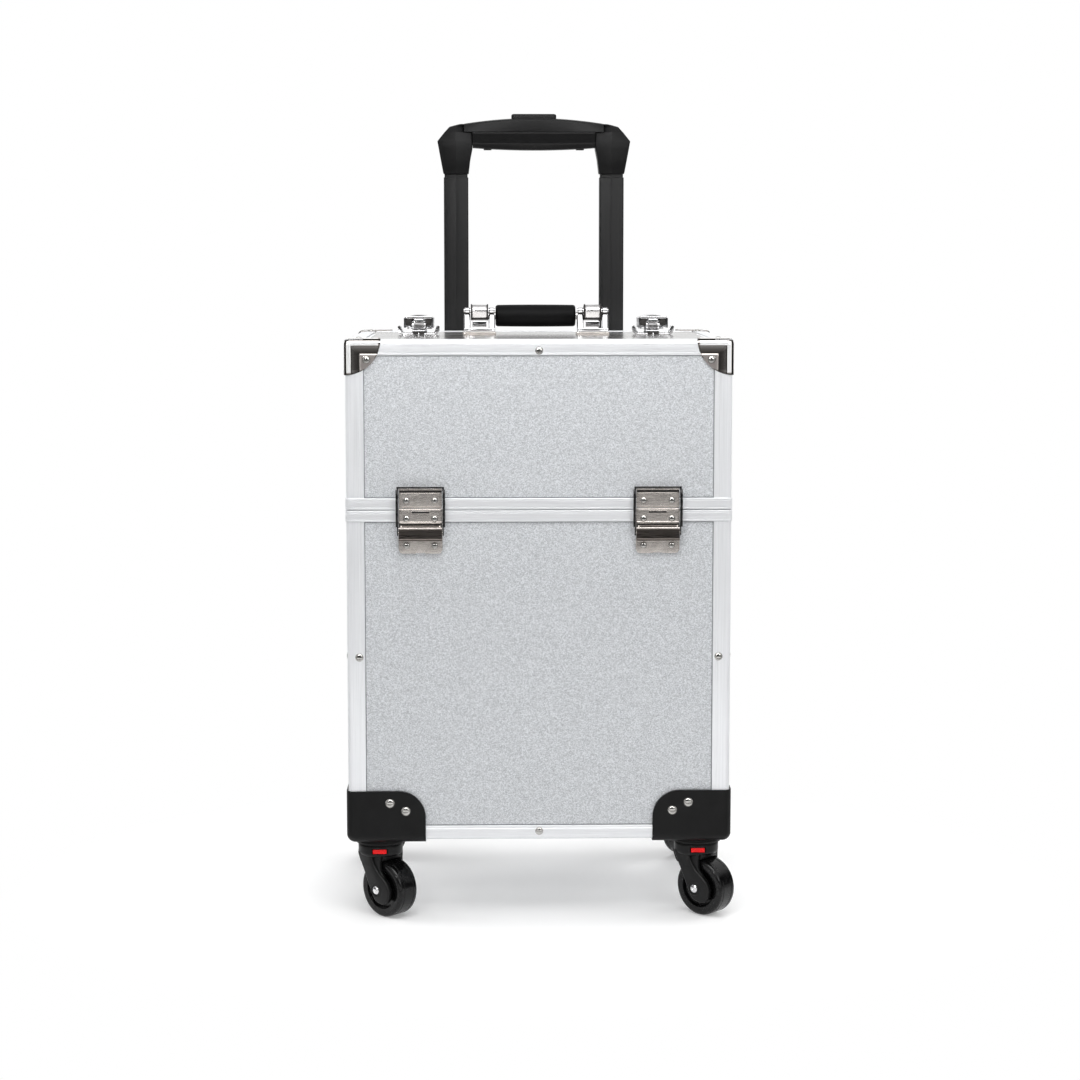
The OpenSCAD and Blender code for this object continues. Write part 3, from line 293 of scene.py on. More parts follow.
z_base, z_top, flange, ledge = 73.6, 520.0, 15.0, 21.0
base_rails = along_walls(rail_outline(13.0, flange, 10.6), z_base, 1, post_leg)
piece("base_rail_angles", base_rails, aluminium, "lower_bin", ["lower_base_rails"])
rebate = filleted([(13.6, 1.4), (13.6, 6.4), (ledge, 6.4), (ledge, 5.0), (flange, 5.0), (flange, 1.4)], 0.15)
top_rails = along_walls(rail_outline(14.0, flange, 11.6), z_top, -1, post_leg)
top_rails += along_walls(rebate, z_top, -1, ledge)
piece("top_rail_angles", top_rails, aluminium, "upper_case", ["upper_top_rails"])

# ---- Rims: aluminium channels round the seam, bent from one length each with rounded corners.
# The lower one carries a tongue that centres the upper case, the upper one a ledge under its floor.
# A fine line is drawn near the edges of each outer face.


def round_case(outline, w=half_w, d=half_d, y=y_mid, corner=edge_r, steps=8):
    """Carries a closed outline (distance out of the wall, height) round the case:
    each of its points becomes a rectangle with round corners, larger by that distance."""
    outline = np.asarray(outline, float)
    out, z = outline[:, :1], outline[:, 1:]
    angle = np.concatenate([np.linspace(k, k + 1, steps + 1) for k in range(4)]) * np.pi / 2
    side_x = np.repeat([1, -1, -1, 1], steps + 1)
    side_y = np.repeat([1, 1, -1, -1], steps + 1)
    radius = np.maximum(corner + out, 0.4)
    x = side_x * (w + out - radius) + radius * np.cos(angle)
    depth = y + side_y * (d + out - radius) + radius * np.sin(angle)
    return loft(np.stack([x, depth, np.broadcast_to(z, x.shape)], -1), round_trip=True)


rim_out = 0.8


def face_line(z, depth=0.22, half=0.3):
    """Drawn line across a rim's outer face at one height, as corners of its outline."""
    bottom = rim_out - depth
    return [(rim_out, z - half), (bottom, z - half / 3), (bottom, z + half / 3), (rim_out, z + half)]


lower_rim = filleted(
    [(rim_out, 359.6), *face_line(361.4), *face_line(367.6), (rim_out, 369.6), (-2.6, 369.6), (-2.6, 373.6),
     (-4.0, 373.6), (-4.0, 369.6), (-6.8, 369.6), (-6.8, 355.6), (-5.4, 355.6), (-5.4, 368.2), (-1.4, 368.2),
     (-1.4, 359.6)],
    [0.5] + [0.05] * 8 + [0.6, 0.1, 0.5, 0.5, 0.1, 0.5, 0.5, 0.5, 0.3, 0.3, 0.5])
piece("lower_rim_channel", [round_case(lower_rim)], aluminium, "lower_bin", ["lower_rim"])
upper_rim = filleted(
    [(rim_out, 370.4), *face_line(372.2), *face_line(378.4), (rim_out, 380.4), (-1.4, 380.4), (-1.4, 375.3),
     (-11.4, 375.3), (-11.4, 373.9), (-1.4, 373.9), (-1.4, 370.4)],
    [0.6] + [0.05] * 8 + [0.6, 0.5, 0.2, 0.5, 0.5, 0.2, 0.5])
piece("upper_rim_channel", [round_case(upper_rim)], aluminium, "upper_case", ["upper_rim"])

# ---- Panel edges: the fine dark line round each panel, where its foil goes under the posts, rails and rims.
# The dark is painted shadow: a strip of dark grey that stands just below the aluminium, in the joint.


def oblong(left, low, right, high, corner, steps=4):
    """Outline of a rectangle with round corners."""
    return filleted([(left, low), (right, low), (right, high), (left, high)], corner, steps)


# Painted shadow: the dark grey of the strips along the panels' joints.
painted_joint_shadow = finish("painted_joint_shadow_line", (0.2, 0.21, 0.22), 0.6)
tint(painted_joint_shadow, grain(painted_joint_shadow, 5.0), (0.16, 0.168, 0.178), (0.25, 0.26, 0.27))
relief(painted_joint_shadow, grain(painted_joint_shadow, 1.2), 0.05)
joint_shadow_width, joint_shadow_levels = 0.8, (-1.9, -1.15)
for name, body, low, high in (("lower", "lower_bin", 86.6, 359.6), ("upper", "upper_case", 380.4, 506.0)):
    shells = []
    for along, out, run, reach in walls:
        side = run - post_leg
        for left, bottom, right, top in ((-side, low, joint_shadow_width - side, high), (side - joint_shadow_width, low, side, high),
                                         (-side, low, side, low + joint_shadow_width), (-side, high - joint_shadow_width, side, high)):
            strip = carried(oblong(left, bottom, right, top, 0.1), joint_shadow_levels)
            shells.append(loft(placed(strip, middle + out * reach, along, Z, out)))
    piece(name + "_panel_joint_shadows", shells, painted_joint_shadow, body)

# ---- Bottom corner guards: three-sided black mouldings over the bottom corners, with rounded edges.
# Each has two wings with an arched inner top corner and a floor that carries the caster.
# They are moulded plastic with a fine matt texture, riveted through the wings.


def skin(grid):
    """Open sheet over a grid of points, one quad between each four neighbours."""
    index = np.arange(grid.shape[0] * grid.shape[1]).reshape(grid.shape[:2])
    quads = np.stack([index[:-1, :-1], index[:-1, 1:], index[1:, 1:], index[1:, :-1]], -1)
    return grid.reshape(-1, 3), quads.reshape(-1, 4), []


def guard_skin(reach=70.6, tall=46.9, top_arc=24.0, low_arc=7.4, plan_arc=7.6):
    """Outer face of a guard on a grid: across, a path goes along one wing, round the upright edge and along the
    other; down, each column drops from the arched top edge, turns under by a quarter circle and runs to one point."""
    turn = np.linspace(0, np.pi / 2, 13)
    wing = np.concatenate([reach - top_arc * (1 - np.cos(turn)), np.linspace(reach - top_arc, plan_arc, 7)[1:]])
    bend = np.linspace(0, np.pi / 2, 10)[1:-1]
    zero = np.zeros_like(wing)
    a = np.concatenate([wing, plan_arc * (1 - np.sin(bend)), zero])
    b = np.concatenate([zero, plan_arc * (1 - np.cos(bend)), wing[::-1]])
    in_a = np.concatenate([zero, np.sin(bend), zero + 1])
    in_b = np.concatenate([zero + 1, np.cos(bend), zero])
    end = np.minimum(np.concatenate([reach - wing, np.full(len(bend), top_arc), (reach - wing)[::-1]]), top_arc)
    top = tall - top_arc + np.sqrt(top_arc**2 - (top_arc - end) ** 2)
    drop = np.linspace(0, 1, 9)[:, None]
    under = np.linspace(0, np.pi / 2, 8)[1:, None]
    inward = np.concatenate([0 * drop, low_arc * (1 - np.cos(under))])
    z = np.concatenate([top + (low_arc - top) * drop, low_arc * (1 - np.sin(under)) + 0 * top])
    wall = np.stack([a + in_a * inward, b + in_b * inward, z], -1)
    share = np.linspace(0, 1, 5)[1:, None, None]
    floor = wall[-1] + share * (np.array([reach, reach, 0]) - wall[-1])
    return np.concatenate([wall, floor])


def thicken(made_piece, wall, bevel=0.0):
    """Gives a sheet its wall inwards, and rounds the edges that this makes by a small bevel."""
    shell = made_piece.modifiers.new("wall", "SOLIDIFY")
    shell.thickness = wall / 1000
    shell.offset = -1
    shell.use_even_offset = True
    if bevel:
        round_off = made_piece.modifiers.new("edges", "BEVEL")
        round_off.width = bevel / 1000
        round_off.segments = 3
        round_off.limit_method = "ANGLE"
        round_off.angle_limit = math.radians(45)


moulded = finish("moulded_black", (0.005, 0.005, 0.0052), 0.42, specular=0.2)
texture = grain(moulded, 0.55, detail=2.0)
tint(moulded, grain(moulded, 14.0), (0.0042, 0.0042, 0.0044), (0.006, 0.006, 0.0062))
gloss(moulded, texture, 0.36, 0.5)
relief(moulded, texture, 0.016)

guard, guard_out, z_guard = guard_skin(), 1.8, 71.2
shells = []
for a, b in corners:
    origin = (a * (half_w + guard_out), y_mid + b * (half_d + guard_out), z_guard)
    shells.append(skin(placed(guard, origin, -a * X, -b * Y, Z)))
guards = piece("guard_mouldings", shells, moulded, "lower_bin", ["corner_guards"], crease=50)
thicken(guards, 3.4, 0.9)

# ---- Caster collars: black rings under the guards, each with the stem that its fork turns on.
# A collar is moulded in one with its stem, from the guards' plastic, and a fine groove runs round the ring.


def turned(profile, origin, axis, steps=48, round_trip=False):
    """Lathe work: each point (radius, height) of a profile goes round the axis as a circle."""
    profile = np.asarray(profile, float)
    angle = np.linspace(0, 2 * np.pi, steps, endpoint=False)
    radius, height = profile[:, :1], profile[:, 1:]
    rings = np.stack([radius * np.cos(angle), radius * np.sin(angle), height + 0 * angle], -1)
    axis = np.asarray(axis, float)
    across = np.cross(Z if abs(axis[2]) < 0.9 else X, axis)
    across /= np.linalg.norm(across)
    return loft(placed(rings, origin, across, np.cross(axis, across), axis), round_trip)


casters = {"front_left": (-143.0, -104.8, -44.0), "front_right": (143.0, -104.8, -44.0),
           "rear_left": (-143.0, 87.2, 136.0), "rear_right": (143.0, 87.2, 44.0)}
collar = [(0, 59.2), (5.4, 59.2), (6, 59.8), (6, 66.3), (21.4, 66.3), (22.4, 66.7), (22.75, 67.5), (22.75, 68.5),
          (22.3, 68.8), (22.3, 69.2), (22.75, 69.5), (22.75, 70.6), (22.3, 71.2), (0, 71.2)]
piece("collar_rings", [turned(collar, (x, y, 0), Z, 64) for x, y, swivel in casters.values()], moulded,
      "lower_bin", ["caster_collars"])

# ---- Caster forks: one black moulding each, a round crown with two legs that sweep back to bosses at the axle.
# Fairings and gussets thicken the legs under the crown, and a web and a bridge join them there.
# A pocket in the crown's wall holds the release button, and a bore takes the collar's stem.


def string_round(pegs, steps=72):
    """Outline of a string pulled tight round pegs (x, y, radius): in each direction, the peg that reaches
    farthest."""
    angle = np.linspace(0, 2 * np.pi, steps, endpoint=False)
    way = np.stack([np.cos(angle), np.sin(angle)], 1)
    pegs = np.asarray(pegs, float)
    peg = pegs[(way @ pegs[:, :2].T + pegs[:, 2]).argmax(1)]
    return peg[:, :2] + peg[:, 2:] * way


def inset(outline, depth):
    """Outline drawn in by a depth: each point moves along the mitre of its two edges."""
    step = np.roll(outline, -1, 0) - outline
    step /= np.linalg.norm(step, axis=1, keepdims=True)
    out = np.stack([step[:, 1], -step[:, 0]], 1)
    before = np.roll(out, 1, 0)
    return outline - depth * (out + before) / (1 + (out * before).sum(1, keepdims=True))


def plate(outline, low, high, edge, steps=3):
    """Slab over an outline between two levels, its rims rounded: near each face the outline is drawn in
    along a quarter circle."""
    outline = np.asarray(outline, float)
    outline = outline[np.linalg.norm(outline - np.roll(outline, 1, 0), axis=1) > 1e-4]
    ahead = np.roll(outline, -1, 0)
    if (outline[:, 0] * ahead[:, 1] - outline[:, 1] * ahead[:, 0]).sum() < 0:
        outline = outline[::-1]
    turn = np.linspace(0, np.pi / 2, steps + 1)
    depth, rise = edge * (1 - np.sin(turn)), edge * (1 - np.cos(turn))
    depth, level = np.concatenate([depth, depth[::-1]]), np.concatenate([low + rise, high - rise[::-1]])
    return np.stack([ring_at(inset(outline, d), z) for d, z in zip(depth, level)])


crown_r, pocket_turn = 20.0, -46.0


def crown_rings(half=7.0, deep=4.4, z_low=58.35, z_high=62.85, sharp=0.01, sharp_turn=0.003):
    """Crown on a grid of angle and profile: a turned body with a blind bore, whose outer wall steps in
    where the angle and the height lie inside the button's pocket. Close pairs of points keep the step sharp."""
    profile = np.array([
        (0, 54.3), (14.5, 54.3), (17.6, 54.7), (19.2, 55.8), (19.8, 56.8), (crown_r, 57.8), (crown_r, z_low - sharp),
        (crown_r, z_low + sharp), (crown_r, z_high - sharp), (crown_r, z_high + sharp), (crown_r, 64.3), (19.8, 64.7),
        (19.4, 64.9), (19.4, 65.2), (19.7, 65.4), (19.4, 65.8), (18.8, 66), (6.4, 66), (6.4, 58.4), (0, 58.4)])
    side = np.arcsin(half / crown_r)
    centre = np.radians(pocket_turn)
    extra = centre + np.array([-side - sharp_turn, -side, side, side + sharp_turn])
    angle = np.sort(np.concatenate([np.linspace(-np.pi, np.pi, 96, endpoint=False), extra]))
    radius, z = profile[:, :1], profile[:, 1:]
    inside = (np.abs(angle - centre) <= side + 1e-6) & (radius == crown_r) & (z > z_low) & (z < z_high)
    radius = np.where(inside, crown_r - deep, radius + 0 * angle)
    return np.stack([radius * np.cos(angle), radius * np.sin(angle), z + 0 * angle], -1)


def turned_by(degrees):
    """Directions that X, Y and Z get by a turn about Z."""
    c, s = math.cos(math.radians(degrees)), math.sin(math.radians(degrees))
    return (c, s, 0), (-s, c, 0), Z


def on_casters(name, shells, made, body, node, crease=38):
    """One piece for each caster from the same shells, which are drawn with +X along the trail: they stand on
    the caster's swivel axis and turn by its angle."""
    for caster, (x, y, swivel) in casters.items():
        stood = [(placed(points, (x, y, 0), *turned_by(swivel)), quads, caps) for points, quads, caps in shells]
        piece(f"{name}_{caster}", stood, made, f"{body}_{caster}", [f"{node}_{caster}"], crease)


trail, wheel_r, leg_in, leg_out, gusset_out = 11.5, 25.5, 11.5, 17.0, 14.8
standing = [0, 2, 1]  # drawn along and up, with its thickness across
blade = filleted([(-12.0, 59.5), (-10.8, 53.5), (4.2, 23.4), (9.6, 15.0), (19.4, 13.0), (26.4, 17.2), (28.0, 26.6),
                  (24.8, 32.8), (20.6, 36.8), (13.0, 42.4), (6.0, 50.5), (6.4, 59.5)],
                 [1.0, 20.0, 9.0, 7.0, 8.0, 7.0, 5.0, 6.0, 10.0, 16.0, 9.0, 1.0], 6)
gusset = filleted([(2.0, 58.0), (14.0, 58.0), (13.6, 50.0), (14.4, 42.8), (20.5, 36.6), (12.0, 34.0), (2.0, 48.0)],
                  [0.5, 0.5, 8.0, 5.0, 0.8, 0.5, 0.5])
web = filleted([(-17.0, 58.0), (-4.0, 58.0), (-5.0, 53.5), (-8.6, 47.6), (-11.4, 44.6), (-14.0, 47.5), (-16.6, 53.0)],
               [1.0, 1.0, 3.0, 3.0, 1.4, 3.0, 2.0])
bridge = filleted([(-12.0, 51.5), (15.0, 51.5), (16.0, 56.5), (-12.0, 56.5)], 0.4)
fairing = np.stack([
    ring_at(oblong(back, leg_in, front, out, [0.6, 0.6, 2.2, 2.2]), z)
    for z, back, front, out in ((57.5, -11.2, 6.6, 18.7), (54.5, -10.8, 6.2, 18.2), (51.5, -9.8, 6.0, 17.6),
                                (48.0, -8.4, 7.4, 17.15), (44.0, -6.9, 10.0, 16.8))])
boss_ring = [(4.2, 16.6), (6.4, 16.6), (6.4, 17.1), (6.1, 17.35), (4.8, 17.35), (4.3, 17.1)]
axle_place = (trail, 0, wheel_r)
shells = [loft(crown_rings())]
for side in (-1, 1):
    for rings in (plate(blade, leg_in, leg_out, 1.5, 4), plate(gusset, leg_in, gusset_out, 0.8)):
        shells.append(loft(rings[..., standing] * (1, side, 1)))
    shells.append(loft(fairing * (1, side, 1)))
    shells.append(turned(boss_ring, axle_place, side * Y, 40, round_trip=True))
for rings in (plate(web, -12.5, 12.5, 0.9), plate(bridge, -11.6, 11.6, 0.4)):
    shells.append(loft(rings[..., standing]))
fork_black = finish("moulded_black_fork", (0.0045, 0.0045, 0.0047), 0.36, specular=0.25)
texture = grain(fork_black, 0.6, detail=2.0)
tint(fork_black, grain(fork_black, 9.0), (0.0038, 0.0038, 0.004), (0.0054, 0.0054, 0.0056))
gloss(fork_black, texture, 0.28, 0.44)
relief(fork_black, texture, 0.012)
on_casters("fork_moulding", shells, fork_black, "caster", "fork")

# ---- Caster axles: bright steel pins through the forks' bosses and the wheels.
# Each is headed at both ends, with a small dimple left by the riveting tool.


def both_sides(half):
    """Profile that goes down one half and back up its mirror image."""
    return half + [(radius, -height) for radius, height in half[::-1]]


chrome = finish("chrome_steel", (0.78, 0.78, 0.79), 0.1, metal=1.0)
scuffs = grain(chrome, 6.0, detail=5.0)
tint(chrome, scuffs, (0.72, 0.72, 0.73), (0.83, 0.83, 0.84))
gloss(chrome, scuffs, 0.06, 0.16)
relief(chrome, grain(chrome, 2.5), 0.003)
half_axle = [(0, 18.15), (0.9, 18.15), (1.2, 18.5), (2.2, 18.4), (3.2, 17.9), (3.7, 17.3), (3.7, 17.0), (3.0, 16.9)]
axle = turned(both_sides(half_axle), axle_place, Y, 40)
on_casters("axle_pin", [axle], chrome, "caster", "axle")

# ---- Caster wheels: hard black plastic, moulded in one, that run on the axle pins.
# The glossy tread has rounded shoulders and a fine groove near each, and each side has a raised rim,
# a dished face and a hub.
tyre = finish("wheel_black", (0.0026, 0.0026, 0.0028), 0.2, coat=0.4, specular=0.1)
scuffs = grain(tyre, 5.0, detail=5.0)
tint(tyre, scuffs, (0.0025, 0.0025, 0.0027), (0.004, 0.004, 0.0042))
gloss(tyre, scuffs, 0.16, 0.34)
relief(tyre, grain(tyre, 1.4), 0.008)
shoulder, shoulder_r = np.radians(np.linspace(0, 90, 9)), 3.3
half_wheel = [(3.15, 9.6), (8.4, 9.6), (9.2, 9.3), (9.7, 8.6), (10.0, 7.5), (10.6, 7.05), (15.9, 7.05), (16.7, 7.4),
              (17.2, 8.6), (17.5, 10.0), (18.1, 10.8), (20.6, 10.9)]
half_wheel += list(zip(22.2 + shoulder_r * np.sin(shoulder), 7.7 + shoulder_r * np.cos(shoulder)))
half_wheel += [(wheel_r, 6.0), (25.05, 5.65), (25.05, 5.25), (wheel_r, 4.9), (wheel_r, 1.0)]
wheel = turned(both_sides(half_wheel), axle_place, Y, 96, round_trip=True)
on_casters("wheel_tyre", [wheel], tyre, "wheel", "wheel", crease=32)

# ---- Caster release buttons: red plastic tabs that slide in the pockets of the crowns.
# Each is a small plate, curved like the crown's wall, that narrows inwards as its pocket does.
red = finish("red_plastic", (0.88, 0.006, 0.008), 0.4, specular=0.25)
red_mottle = grain(red, 3.0)
tint(red, red_mottle, (0.84, 0.005, 0.007), (0.92, 0.008, 0.01))
gloss(red, red_mottle, 0.26, 0.4)
relief(red, grain(red, 0.6), 0.01)
tab_in, tab_out, tab_z, narrowing = 18.6, 20.4, 60.6, 0.05
tab = plate(oblong(-6.25, -2, 6.25, 2, 0.6), tab_in, tab_out, 0.4)
tab[..., 0] *= 1 - narrowing * (tab_out - tab[..., 2])
tab = np.stack([tab[..., 2] - tab[..., 0] ** 2 / (2 * tab_out), tab[..., 0], tab[..., 1] + tab_z], -1)
tab = placed(tab, (0, 0, 0), *turned_by(pocket_turn))
on_casters("release_tab", [loft(tab)], red, "release", "release")

# ---- Top corner protectors: pressed steel shells over the top corners, nickel plated, with a rivet in each face.
# A round ridge follows each edge of the case, painted white as a highlight and painted black along the fold itself
# as a dark reflection. A hollow bevel, painted darker towards its foot as shade, falls from the ridge to a small lip,
# and beyond the lip lies a lighter flange, cut short on top to stay clear of the lid.
fold_in, ridge_r, shell_reach = 4.0, 5.4, 31.5
quarter = ridge_r * np.pi / 4
near = np.concatenate([np.linspace(-quarter, 0, 9), [
    0.35, 0.7, 1.1, 1.4, 1.7, 2.0, 2.6, 3.8, 5.2, 6.6, 7.8, 8.4, 8.7, 9.0, 9.4, 9.8, 10.15, 10.5, 11.5, 13.0, 14.5,
    16.5, 18.2]])
pressed = np.interp(near, [0.3, 0.7, 1.1, 1.7, 2.6, 3.8, 5.2, 8.4, 8.7, 9.0, 9.4, 9.8, 10.15, 10.5],
                    [1.4, 1.24, 1.0, 0.76, 0.56, 0.4, 0.3, 0.22, 0.36, 0.62, 0.76, 0.74, 0.6, 0.5])
# Painted light by distance from the ridge: white for the painted highlight on the ridge, near black for painted dark
# reflection on the fold and in a thin line beside the ridge, then falling down the bevel as painted shade.
painted_light_levels = np.interp(
    near, [-0.87 * quarter, -0.75 * quarter, -0.62 * quarter, 1.1, 1.4, 1.7, 2.0, 2.6, 3.8, 5.2, 6.6, 7.8, 8.4, 8.7,
           9.4, 9.8, 10.5, 18.2],
    [0.0, 0.1, 1.0, 1.0, 0.06, 0.06, 0.69, 0.68, 0.6, 0.48, 0.36, 0.24, 0.12, 0.4, 0.81, 0.81, 0.78, 0.78])


def protector_half(width, dip=0.25, rim=-1.3, rim_painted_light=0.4):
    """Half of one face of a protector, from an edge of the case to the mitre, and its painted light for each point.
    Rows lie at set distances from the ridge, columns run from the mitre to an arc about the corner, and the last of
    each turn down as a rim; the painted light of the last two columns is dimmed. Near the edge the sheet turns by
    45 degrees round a line 4 mm inside the case."""
    rows = np.append(near[near < width], [width, width])
    share = np.append(np.linspace(0, 1, 13), 1.0)
    far = np.sqrt(np.maximum(shell_reach**2 - (rows + quarter) ** 2, 0)) - quarter
    s = rows[:, None] + 0 * share
    t = rows[:, None] + share * np.maximum(far - rows, 0)[:, None]
    height = np.interp(rows, near, pressed)[:, None] + 0 * share
    painted_light = np.interp(rows, near, painted_light_levels)[:, None] + 0 * share
    height[:, -2] -= dip
    height[-2] -= dip
    height[:, -1], height[-1] = rim, rim
    painted_light[:, -2:] *= rim_painted_light
    tan_s, tan_t = np.tan(np.clip(-s, 0, quarter) / ridge_r), np.tan(np.clip(-t, 0, quarter) / ridge_r)
    radius = (fold_in + height) / np.sqrt(1 + tan_s**2 + tan_t**2)
    grid = np.stack([fold_in + np.maximum(s, 0) - radius * tan_s, fold_in + np.maximum(t, 0) - radius * tan_t,
                     fold_in - radius], -1)
    return grid, painted_light.ravel()


# The finish turns the painted light into colour, from near black for painted shade to white for the painted
# highlight, and lowers the metal where it is painted bright.
pressing = finish("pressed_nickel", (0.5, 0.465, 0.435), 0.16, metal=1.0)
painted_light_attribute = add_node(pressing, "Attribute", {})
painted_light_attribute.attribute_name = "painted_light"
painted_shades = add_node(pressing, "ValToRGB", {"Fac": painted_light_attribute.outputs["Fac"]})
painted_shades.color_ramp.elements[0].color = (0.03, 0.027, 0.025, 1)
painted_shades.color_ramp.elements[1].color = (0.92, 0.92, 0.92, 1)
for stop, shade in ((0.5, (0.42, 0.39, 0.365, 1)), (0.7, (0.66, 0.63, 0.6, 1)), (0.78, (0.34, 0.31, 0.295, 1)),
                    (0.87, (0.6, 0.56, 0.53, 1))):
    painted_shades.color_ramp.elements.new(stop).color = shade
into_shader(pressing, painted_shades.outputs["Color"], "Base Color")
painted_light_metallic = add_node(pressing, "MapRange", {"Value": painted_light_attribute.outputs["Fac"], "From Min": 0.7, "From Max": 0.8,
                                       "To Min": 1.0, "To Max": 0.3})
into_shader(pressing, painted_light_metallic.outputs["Result"], "Metallic")
gloss(pressing, grain(pressing, 0.6, (30, 30, 1)), 0.1, 0.2)
top_width, wall_width = 10.6, shell_reach / math.sqrt(2) - quarter
shells, painted_lights = [], []
for a, b in corners:
    edges = np.array([-a * X, -b * Y, -Z])
    origin = (a * half_w, y_mid + b * half_d, z_top)
    for inward, width in ((2, top_width), (0, wall_width), (1, wall_width)):
        grid, painted_light = protector_half(width)
        first, second = [k for k in range(3) if k != inward]
        for one, other in ((first, second), (second, first)):
            shells.append(skin(placed(grid, origin, edges[one], edges[other], edges[inward])))
            painted_lights.append(painted_light)
protectors = piece("protector_pressings", shells, pressing, "upper_case", ["corner_protectors"],
                   crease=60, painted_light=painted_lights)
thicken(protectors, 0.7)

# ---- Rivets: bright steel heads that hold the posts, rails, guards, protectors and latch plates.
# Each is a low dome with a thin brim, set on the face that it holds; the posts' heads are flatter on the sides.


def rivet(place, out, width=7.0, height=1.6):
    """Domed head on a face: a circle's cap that ends in a thin brim."""
    rise = np.linspace(0, np.pi / 2, 8)
    dome = np.stack([width / 2 * 0.94 * np.sin(rise), height * (0.12 + 0.88 * np.cos(rise))], 1)
    brim = np.array([(width / 2, height * 0.1), (width / 2, -0.2), (0, -0.2)])
    return turned(np.concatenate([dome, brim]), place, out, 32)


latches, latch_rivet_x, z_seam = {"left": -104.5, "right": 104.5}, 12.4, 370.0
lower_heads, upper_heads = [], []
for along, out, run, reach in walls:
    face = middle + out * reach
    lower_heads.append(rivet(face + Z * 81.5, out))
    upper_heads.append(rivet(face + Z * 510.2, out))
    for heads, from_end, proud, z, width, height in (
            (lower_heads, 10.8, 0.0, 238.8, 7.2, 1.6 if out[1] else 0.8),
            (lower_heads, 37.0, guard_out, 107.5, 8.0, 1.6), (lower_heads, 51.2, guard_out, 100.3, 8.0, 1.6),
            (upper_heads, 18.8, 0.5, 502.4, 7.0, 1.9)):
        for side in (-1, 1):
            place = face + along * side * (run - from_end) + out * proud + Z * z
            heads.append(rivet(place, out, width, height))
for a, b in corners:
    upper_heads.append(rivet((a * (half_w - 11.0), y_mid + b * (half_d - 21.0), z_top + 0.5), Z, 6.0, 1.4))
for x in latches.values():
    for side in (-1, 1):
        for heads, proud, z in ((lower_heads, 2.0, -31.2), (lower_heads, 2.8, -7.4), (upper_heads, 2.25, 8.6)):
            heads.append(rivet((x + side * latch_rivet_x, y_front - proud, z_seam + z), -Y, 6.0, 1.5))
rivet_steel = finish("rivet_steel", (0.5, 0.49, 0.47), 0.14, metal=1.0)
scuffs = grain(rivet_steel, 2.5, detail=4.0)
tint(rivet_steel, scuffs, (0.45, 0.44, 0.42), (0.56, 0.55, 0.53))
gloss(rivet_steel, scuffs, 0.1, 0.2)
piece("lower_rivet_heads", lower_heads, rivet_steel, "lower_bin", ["lower_rivets"])
piece("upper_rivet_heads", upper_heads, rivet_steel, "upper_case", ["upper_rivets"])

# ---- Front draw latches: pressed, nickel-plated plates on either side of the seam, each held by rivets.
# The base has a raised pad with a slot, rolled lips, and ears with the lever's pin between them.
# The catch has a raised field, and a lip that the bail's bar hooks over.


def on_latch(rings, x, side=1):
    """Skin over latch work, drawn across, up from the seam and out from the wall, on the front wall."""
    return loft(placed(rings, (x, y_front, z_seam), side * X, Z, -Y))


def slab(left, low, right, high, corner, back, front, edge):
    """Rectangular plate with round corners and rims, drawn across, up and out."""
    return plate(oblong(left, low, right, high, corner), back, front, edge)


edge_on = [2, 1, 0]  # drawn out from the wall and up, with its thickness across


def bar_across(outline, half):
    """Bar across a latch from an outline drawn out from the wall and up, with its ends closed."""
    return carried(outline, (-half, half))[..., edge_on]


def pin(radius, low, high, place, axis=X, steps=20):
    """Plain round pin between two distances from a place, along an axis."""
    return turned([(0, low), (radius, low), (radius, high), (0, high)], place, axis, steps)


nickel = finish("polished_nickel", (0.68, 0.632, 0.592), 0.24, metal=0.75)
brushed = grain(nickel, 0.6, (30, 30, 1), detail=3.0)
tint(nickel, grain(nickel, 9.0), (0.64, 0.595, 0.556), (0.72, 0.672, 0.632))
gloss(nickel, brushed, 0.18, 0.32)
relief(nickel, brushed, 0.003)
# Painted shade: a near-black finish for plates put where shade falls, in slots, gaps and hollows.
painted_shade = finish("latch_painted_shade", (0.02, 0.018, 0.017), 0.5, metal=0.3)
tint(painted_shade, grain(painted_shade, 1.5), (0.014, 0.013, 0.012), (0.03, 0.027, 0.025))
lip = oblong(1.9, 17.8, 3.3, 19.4, 0.6, 6)
catch_work = [slab(-18.9, 2.1, 18.9, 19.2, 1.2, 0.85, 2.0, 0.4), slab(-17.4, 10.8, 17.4, 17.8, 0.4, -1.4, 0.9, 0.2),
              slab(-17.4, 3.3, 17.4, 15.4, 0.8, 1.9, 2.28, 0.36), bar_across(lip, 18.9)]
base_outline = [(-19.3, 1.4), (-19.3, -35.6), (-16.5, -38.4), (-4.5, -38.4), (-3.2, -37.3), (3.2, -37.3),
                (4.5, -38.4), (16.5, -38.4), (19.3, -35.6), (19.3, 1.4)]
base_plate = plate(filleted(base_outline, [0.8, 2.4, 2.4, 0.6, 0.6, 0.6, 0.6, 2.4, 2.4, 0.8]), 0.85, 2.0, 0.4)
middle_roll = oblong(1.9, -11.9, 3.3, -9.9, 0.65, 6)
top_roll = oblong(1.9, -0.3, 3.15, 1.3, 0.6, 6)
low_roll = oblong(1.9, -27.9, 2.9, -26.9, 0.4, 5)
slot_frame = slab(-8.4, -3.0, 8.4, -0.5, 0.4, 2.7, 2.98, 0.2)
base_work = [base_plate, slab(-18.2, -38.0, 18.2, -11.0, 0.4, -1.4, 0.9, 0.2),
             slab(-18.9, -11.4, 18.9, 1.4, 1.6, 1.9, 2.8, 0.5), bar_across(middle_roll, 18.6),
             bar_across(top_roll, 17.2), bar_across(low_roll, 18.6), slot_frame]
